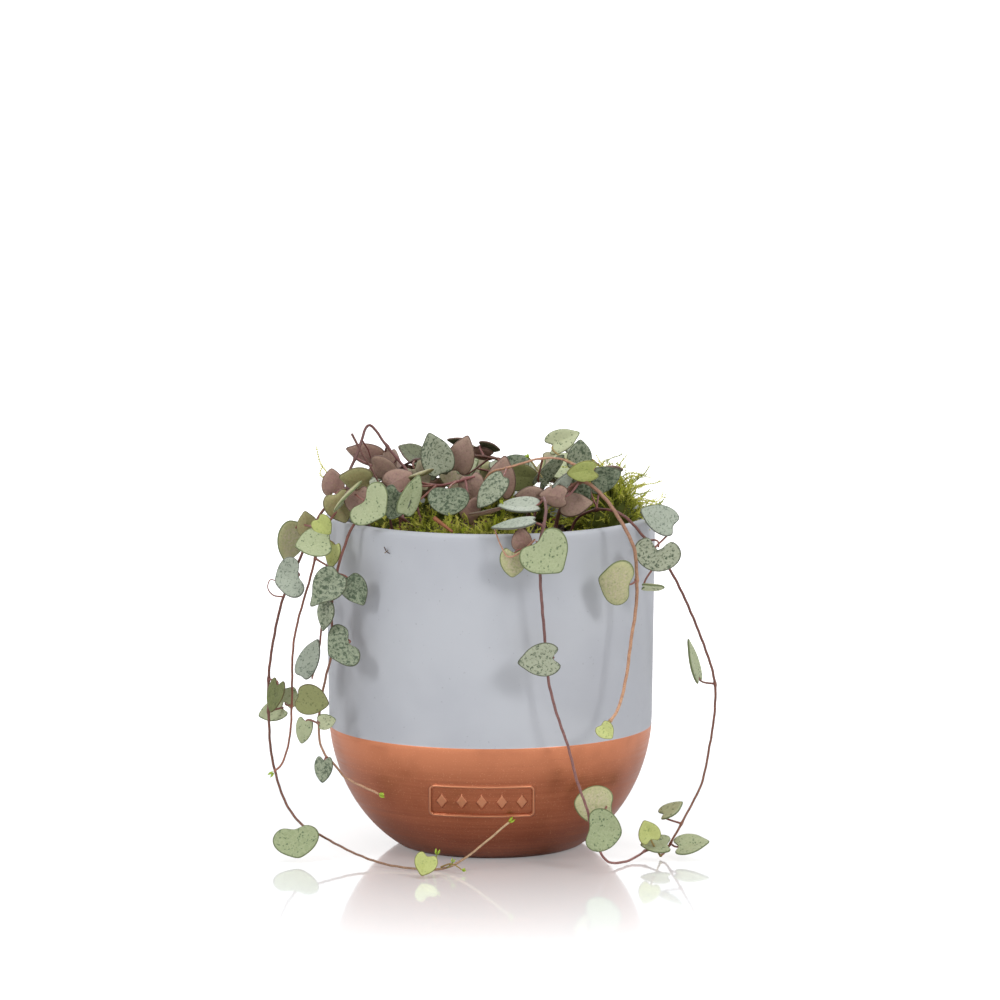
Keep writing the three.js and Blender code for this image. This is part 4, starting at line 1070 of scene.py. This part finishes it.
# %% Small leaves that belong to a vine's solid
JOINED = [
    ("small", "left_inner", (-72, -34, 51), 12, 7, -100, 0, 20, "pale"),
    ("lower_edge", "right_outer", (70, -24, 17), 12, 9, 30, 0, -65, "pale"),
    ("floor_left", "front", (65, -39, 6), 13, 10, 180, 0, 55, "pale"),
    ("bud", "right_pink", (44, -67, 56), 8, 7, -50, 0, 0, "lime"),
    ("dark_edge", "crown_middle", (-11.8, 3, 158.5), 9.5, 8, 170, 0, -60, "plum", {"look": "olive", "tone": 0.0}),
    ("dark_fold", "crown_middle", (-0.9, 6, 156.1), 10, 8, -15, 0, 55, "plum", {"tone": 0.0}),
    ("middle_high", "crown_middle", (10, 1, 148), 13, 12, 40, 0, -30, "mottled", {"tone": 0.0}),
    ("middle_low", "crown_middle", (11, 16, 145), 15, 13, 150, 0, 50, "mottled"),
    ("middle_side", "crown_middle", (29, 14, 147), 14, 13, 20, 0, -50, "pale"),
    ("middle_back", "crown_middle", (6, 28, 143), 15, 14, 160, 0, 55, "mottled"),
    ("middle_tip", "crown_middle", (13, 43, 140), 12, 11, 10, 0, -40, "pale"),
    ("middle_left", "crown_middle", (-30, 8, 152), 14, 13, 150, 0, 60, "plum"),
    ("crown", "back_left", (-38, -34, 142), 14, 13, -100, 40, 0, "mottled"),
    ("crown_side", "back_left", (-51, -22, 144), 14, 13, 120, 0, -40, "plum"),
    ("crown_start", "back_left", (-31, -28, 134), 13, 12, -60, 40, 10, "pale"),
    ("crown", "back_middle", (-37, -50, 141), 15, 14, -80, 30, 0, "pale"),
    ("crown_side", "back_middle", (-46, -33, 143), 14, 13, 100, 0, -50, "mottled"),
    ("crown_start", "back_middle", (-23, -38, 135), 13, 12, 30, 0, -50, "plum"),
    ("crown", "back_right", (27, -36, 150), 15, 14, 200, 0, 50, "mottled"),
    ("crown_side", "back_right", (44, -36, 151), 14, 13, 30, 0, -50, "pale"),
    ("crown_start", "back_right", (20, -30, 138), 14, 13, 180, 0, 50, "mottled"),
    ("back_high", "back_left", (-62, -42, 112), 16, 15, -100, 0, 0, "mottled"),
    ("back_low", "back_left", (-80, -36, 72), 15, 14, -80, 0, 20, "pale"),
    ("back_high", "back_middle", (-52, -51, 108), 16, 14, -60, 0, 10, "pale"),
    ("back_low", "back_middle", (-59, -48, 84), 14, 15, -110, 0, 20, "mottled"),
    ("back_high", "back_right", (48, -63, 112), 16, 15, -120, 0, 0, "mottled"),
    ("back_low", "back_right", (57, -63, 84), 14, 14, -70, 0, 10, "pale"),
]

# %% Growing them in groups
def grow_group(name, leaves):
    """One object of several leaves; each keeps its own finish, and the first one's finish is listed first."""
    kinds = list(dict.fromkeys(leaf[8] for leaf in leaves))
    heap = Collector()
    for leaf in leaves:
        before = len(heap.finish)
        attached[leaf[1]].append(grow_leaf(heap, leaf, turn_of[leaf[1]], paths[leaf[1]]))
        for i in range(before, len(heap.finish)):
            heap.finish[i] = len(kinds) if heap.finish[i] else kinds.index(leaf[8])
    make_piece(name, heap, [LEAF_FINISHES[kind] for kind in kinds] + [stem_finish])


for vine in paths:
    own = [(vine + "_" + leaf[0],) + leaf[1:] for leaf in JOINED if leaf[1] == vine]
    if own:
        grow_group(vine + "_small_leaves", own)

# %% Leaves that fill the crown and the rims
FILLING = {
    "left_rim_extras": [
        ("rim_brown", "left_outer", (-71, -18, 128), 11, 9, 100, 0, 170, "olive"),
        ("rim_lime", "left_middle", (-64.5, -42, 132), 9, 8, -50, 0, 10, "lime"),
        ("rim_lime_low", "left_middle", (-60, -40, 120.5), 11, 8, -100, 0, 40, "lime"),
        ("olive", "left_middle", (-78.6, -22, 61.5), 9, 9, 60, 0, 20, "pale"),
        ("tiny", "left_inner", (-63.5, -46, 56), 8, 7, 10, 0, 20, "pale"),
        ("crown_low_olive", "crown_arch", (-58, -36, 138.5), 14, 12, -70, 0, 165, "olive"),
        ("crown_bar", "crown_arch", (-56, -42, 142.5), 18, 11, 48, 0, 82, "pale"),
    ],
    "crown_left_extras": [
        ("spike", "crown_arch", (-39.5, -12, 153), 10, 6, 95, 0, 170, "plum"),
        ("brown", "crown_arch", (-50.6, -42, 141), 13, 11, -80, 0, 175, "plum"),
        ("brown_bar", "crown_arch", (-27.5, -38, 151), 11, 8, 20, 0, 78, "olive"),
        ("behind_grey", "left_middle", (-36, -30, 147), 13, 11, 30, 0, 160, "plum"),
        ("plum_small", "crown_arch", (-7, -36, 146), 12, 10, -75, 0, 175, "plum"),
        ("plum_low", "crown_arch", (-8, -44, 138), 12, 9, -85, 0, 180, "plum"),
        ("deep_left", "left_inner", (-40, -24, 141), 14, 12, 160, 0, 160, "plum"),
        ("deep_middle", "crown_middle", (-28, -12, 147), 13, 12, -60, 0, 160, "mottled"),
    ],
    "crown_right_extras": [
        ("olive_dark", "crown_middle", (12, -14, 147), 15, 12, 0, 0, 20, "olive"),
        ("narrow", "front", (-1, -52, 138), 15, 10, 192, 0, 98, "plum"),
        ("rosy", "front", (12, -68, 129.4), 10, 8, 92, 0, 180, "plum"),
        ("bark_left", "right_pink", (15.5, -40, 142.5), 12, 8, 180, 0, 175, "plum"),
        ("grey_leaf", "crown_pale", (34, -24, 156), 13, 11, 85, 0, 25, "mottled", {"tone": 0.2}),
        ("mottled_right", "right_outer", (43, -28, 148), 16, 12, 20, 0, 25, "mottled", {"tone": 0.0}),
        ("mottled_dark", "right_pink", (33, -32, 145), 15, 12, -40, 0, 15, "mottled", {"tone": 0.0}),
        ("pale_folded", "right_pink", (27.5, -40, 148), 14, 8, 48, 0, 50, "silvery"),
        ("small_brown", "right_outer", (47.5, -20, 151), 8, 6, -5, 0, 65, "plum"),
        ("grey_arc", "right_pink", (32, -38, 139.5), 14, 10, 5, 0, 150, "plum"),
        ("rim_oval", "right_outer", (62, -46, 108.5), 10, 7, -3, 0, 62, "pale"),
        ("yellow_low", "right_outer", (61, -42, 11.5), 10, 9, 110, 0, 15, "lime"),
    ],
    "crown_back_extras": [
        ("far_a", "crown_middle", (-22, 14, 148), 15, 13, 120, 0, -40, "mottled"),
        ("far_b", "crown_middle", (-8, 22, 146), 14, 13, 60, 0, -60, "pale"),
        ("far_c", "crown_middle", (-4, 10, 152), 13, 12, 170, 0, 120, "plum"),
        ("far_d", "crown_middle", (24, 28, 145), 14, 12, -30, 0, 150, "mottled"),
        ("far_e", "crown_middle", (2, 36, 141), 14, 13, -90, 0, 160, "pale"),
        ("far_f", "crown_middle", (-34, 14, 143), 13, 12, 200, 0, 130, "plum"),
        ("far_g", "crown_middle", (-14, 34, 141), 14, 12, -70, 0, 170, "mottled"),
        ("far_h", "crown_middle", (32, 26, 143), 12, 11, -10, 0, 140, "plum"),
        ("far_j", "crown_middle", (-24, 4, 150), 13, 11, 100, 30, 90, "mottled"),
        ("far_i", "crown_middle", (18, 20, 144), 12, 11, 60, 0, 100, "pale"),
    ],
}
for name, leaves in FILLING.items():
    grow_group(name, leaves)

# %% [markdown]
# ## The vines themselves
# The vines are made after the leaves, because each swells where a leaf is attached. A slight wobble keeps a
# vine from looking drawn with a ruler.

# %% Vines
VINE_SIDES = 10
for name, path in paths.items():
    radius, old, young, late = TINTS[name]
    line, run = even_steps(path, 0.9)
    wobble = np.stack([np.sin(run * 0.9 + k * 2.1) * np.sin(run * 0.23 + k) for k in range(3)], 1) * 0.09
    wobble[0] = 0
    share = run / run[-1]
    width = radius * (1.06 - 0.28 * share)
    for start in attached[name]:
        away = np.linalg.norm(line - start, axis=1)
        width = width * (1 + 0.5 * np.exp(-((away / 0.9) ** 2)))
    line = line + wobble
    line[:, 2] += np.maximum(0, width + 0.05 - line[:, 2])  # a vine that lies on the table stays above it
    ripe = share[:, None] ** late
    tint = np.array(srgb(*old)) * (1 - ripe) + np.array(srgb(*young)) * ripe
    tint = np.vstack([np.repeat(tint, VINE_SIDES, axis=0), tint[:1], tint[-1:]])
    heap = Collector()
    heap.add(*sweep(line, width, VINE_SIDES), tint=tint)
    make_piece(name + "_vine", heap, [stem_finish], ["vine_" + name])

# %% [markdown]
# ## Tips and buds
# At the end of a growing vine sits a tight pair of tiny leaves, bright yellow-green. Thin side shoots carry
# them too. These are small, but they are the brightest green on the plant, so the eye finds them.

# %% Bud finish
bud_finish, net, shader = new_material("bud_finish")
where, grain = place_and_grain(net, 500.0)
tone = net.mix(grain.outputs["Tone"], colour(126, 160, 24), colour(186, 208, 70))
dress(net, shader, tone, net.ramp(grain.outputs["Tone"], 0.2, 0.8, 0.4, 0.55), grain.outputs["Height"], 0.3, 0.1)

# %% Shape of a bud
def bud(heap, centre, size, axis):
    """A tight pair of leaflets, as two swollen almond shapes side by side."""
    axis = unit(np.array(axis, float))
    side = unit(np.cross(axis, (0.3, 0.8, 0.5)))
    other = np.cross(axis, side)
    for sign in (-1, 1):
        points, rings, sides = [], 7, 10
        for i in range(rings):
            s = (i + 0.5) / rings
            r = size * 0.36 * math.sin(math.pi * s) ** 0.8
            middle = axis * size * (1.3 * s - 0.3) + side * sign * size * (0.16 + 0.22 * s)
            for j in range(sides):
                a = 2 * math.pi * j / sides
                points.append(middle + side * r * 0.62 * math.cos(a) + other * r * 1.25 * math.sin(a))
        points += [-axis * size * 0.32 + side * sign * size * 0.1, axis * size * 1.1 + side * sign * size * 0.4]
        heap.add(np.array(points) + centre, ring_faces(rings, sides), 1, tint=(0.3, 0.4, 0.05))

# %% Side shoots
# name: route, thickness (radius), colour
SHOOTS = {
    "front_tendril": ([(17, -70, 130), (12, -74, 126), (7, -74.5, 124), (4, -71, 128), (1.5, -66, 134)], 0.4,
                      (206, 158, 132)),
    "left_tendril": ([(-80, -30, 102), (-84, -32, 103), (-86, -33, 106), (-85, -32, 109), (-82, -31, 108)], 0.3,
                     (170, 110, 96)),
    "crown_wire": ([(-53.5, -26, 165), (-49.5, -27, 157.5), (-44.5, -28, 149), (-40, -30, 139)], 0.5, (112, 74, 64)),
    "crown_fork": ([(-49.5, -17, 161), (-47.5, -12, 157), (-46.5, -9, 153)], 0.4, (150, 96, 88)),
    "thin_shoot": ([(15, -26, 155.5), (17.5, -29, 152.5), (20, -34, 149)], 0.35, (140, 128, 70)),
    "bark_sliver": ([(-21.5, -53, 136), (-18, -54.5, 133.5), (-14.5, -56, 131)], 0.9, (150, 92, 54)),
    "crumb_long": ([(-40.7, -51.0, 124.4), (-39.8, -51.5, 122.8), (-38.5, -52.0, 122.0)], 0.22, (70, 50, 40)),
    "crumb_short": ([(-40.5, -51.2, 122.2), (-39.3, -51.7, 123.2)], 0.18, (120, 96, 50)),
    "bud_stalk": ([(-22, -61.2, 1.2), (-21.2, -62.5, 4), (-20.5, -64, 7)], 0.35, (170, 176, 96)),
    "bud_stalk_low": ([(-16.5, -61, 1.4), (-15.4, -63.4, 2.8), (-14.5, -65, 4.1)], 0.32, (170, 176, 96)),
    "floor_shoot": ([(-19, -61, 1.6), (-15, -64, 3.4), (-12.5, -66, 2.6), (-11, -67, 1.6)], 0.35, (176, 150, 84)),
}
heap = Collector()
for route, radius, tint in SHOOTS.values():
    line, run = even_steps(smooth_route(route), 0.7)
    heap.add(*sweep(line, radius * (1.05 - 0.4 * run / run[-1]), 8), tint=srgb(*tint))
print(len(SHOOTS), "side shoots and bits")

# %% Buds
# centre, size and the way it grows
BUDS = [((-20.5, -64, 7.4), 2.0, (0.2, -0.3, 1)), ((-14.5, -65, 4.4), 1.5, (0.4, -0.3, 1)),
        ((-10.6, -67.5, 1.6), 1.3, (1, -0.4, 0.2)), ((40.6, -29.4, 151.2), 1.6, (1, 0.3, -0.2)),
        ((14.6, -26, 156), 1.4, (-0.7, 0, 1))]
for name in ("left_outer", "left_middle", "left_inner", "back_left", "back_middle", "back_right"):
    growing = unit(paths[name][-1] - paths[name][-4])
    BUDS.append((paths[name][-1] + growing * 0.8, 1.9, growing))
for centre, size, axis in BUDS:
    bud(heap, np.array(centre, float), size, axis)
make_piece("shoots_and_buds", heap, [stem_finish, bud_finish])

# %% [markdown]
# ## Studio
# The pot stands on a white, slightly glossy sheet. Close to the pot the sheet mirrors it faintly; further out
# the gloss fades, so the mirror image does too. Two soft lights stand in front, left and right, a large one
# hangs above and one stands behind. The surroundings are white.

# %% Floor
floor_corners = [(-6, -6, 0), (6, -6, 0), (6, 6, 0), (-6, 6, 0)]  # in metres
floor_mesh = bpy.data.meshes.new("studio_floor")
floor_mesh.from_pydata(floor_corners, [], [(0, 1, 2, 3)])
floor = add_object("studio_floor", floor_mesh)
floor_finish, net, shader = new_material("white_sheet")
net.tree.nodes.remove(shader)
position = net.add("ShaderNodeNewGeometry").outputs["Position"]
level_place = net.add("ShaderNodeVectorMath", {"operation": "MULTIPLY"}, i0=position, i1=(1, 1, 0)).outputs[0]
far = net.add("ShaderNodeVectorMath", {"operation": "LENGTH"}, i0=level_place).outputs["Value"]
seen = net.add("ShaderNodeLightPath").outputs["Is Camera Ray"]
matte = net.add("ShaderNodeBsdfDiffuse", None, Color=(0.86, 0.86, 0.87, 1)).outputs[0]
brightness = net.math("MULTIPLY", seen, net.ramp(far, 0.1, 1.2, 0.47, 0.8))
glow = net.add("ShaderNodeEmission", None, Color=(1, 1, 1, 1), Strength=brightness).outputs[0]
body = net.add("ShaderNodeAddShader", None, i0=matte, i1=glow).outputs[0]
paler = net.mix(net.ramp(far, 0.07, 0.15), (1, 1, 1, 1), (0.85, 0.96, 1, 1))
gloss = net.add("ShaderNodeBsdfGlossy", None, Color=paler, Roughness=0.06).outputs[0]
share = net.math("MULTIPLY", net.ramp(far, 0.03, 0.33, 0.6, 0.0), seen)
sheet = net.add("ShaderNodeMixShader", None, i0=share, i1=body, i2=gloss).outputs[0]
net.tree.links.new(sheet, net.tree.nodes["Material Output"].inputs["Surface"])
floor_mesh.materials.append(floor_finish)
floor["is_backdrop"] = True
print("floor finish:", floor_finish.name)

# %% Lights
# name: place, what it aims at, size (all in metres) and power (in watts)
SOFTBOXES = {
    "left_softbox": ((-1.5, -1.35, 1.1), (0, 0, 0.08), (0.5, 0.6), 12),
    "right_softbox": ((1.35, -1.5, 1.2), (0, 0, 0.08), (0.5, 0.6), 15.5),
    "top_softbox": ((0, -0.2, 2.0), (0, 0, 0), (1.6, 1.6), 14),
    "back_softbox": ((0, 1.8, 1.2), (0, 0, 0.1), (1.6, 0.8), 9),
}
for name, (place, aim, size, power) in SOFTBOXES.items():
    data = bpy.data.lights.new(name, "AREA")
    data.shape, data.size, data.size_y = "RECTANGLE", size[0], size[1]
    data.energy = power
    light = add_object(name, data)
    light.location = place
    light.rotation_euler = (Vector(aim) - Vector(place)).to_track_quat("-Z", "Y").to_euler()
    light.visible_camera = False
print(len(SOFTBOXES), "soft lights")

# %% [markdown]
# The surroundings are white to the camera and in mirror images, and dimmer as a light, so that the soft lights
# shape the pot. A plain view transform keeps the paint's colours as they were typed.

# %% Surroundings
world = bpy.data.worlds.new("white_room")
bpy.context.scene.world = world
world.use_nodes = True
net = Network(world.node_tree)
ray = net.add("ShaderNodeLightPath")
white = net.math("MAXIMUM", ray.outputs["Is Camera Ray"], ray.outputs["Is Glossy Ray"])
strength = net.math("ADD", net.math("MULTIPLY", white, 0.66), 0.36)
net.tree.links.new(strength, world.node_tree.nodes["Background"].inputs["Strength"])
world.node_tree.nodes["Background"].inputs["Color"].default_value = (1, 1, 1, 1)
bpy.context.scene.view_settings.view_transform = "Standard"
print("studio ready")

# %% [markdown]
# The finished pieces should fill the same box as the solids, give or take a moss frond. Both boxes are written
# down, so they can be compared.

# %% Write the sizes and finish
visual_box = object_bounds()
sizes = {"cad": [list(map(float, corner)) for corner in cad_box],
         "visual": [list(map(float, corner)) for corner in visual_box]}
print("sizes", sizes)
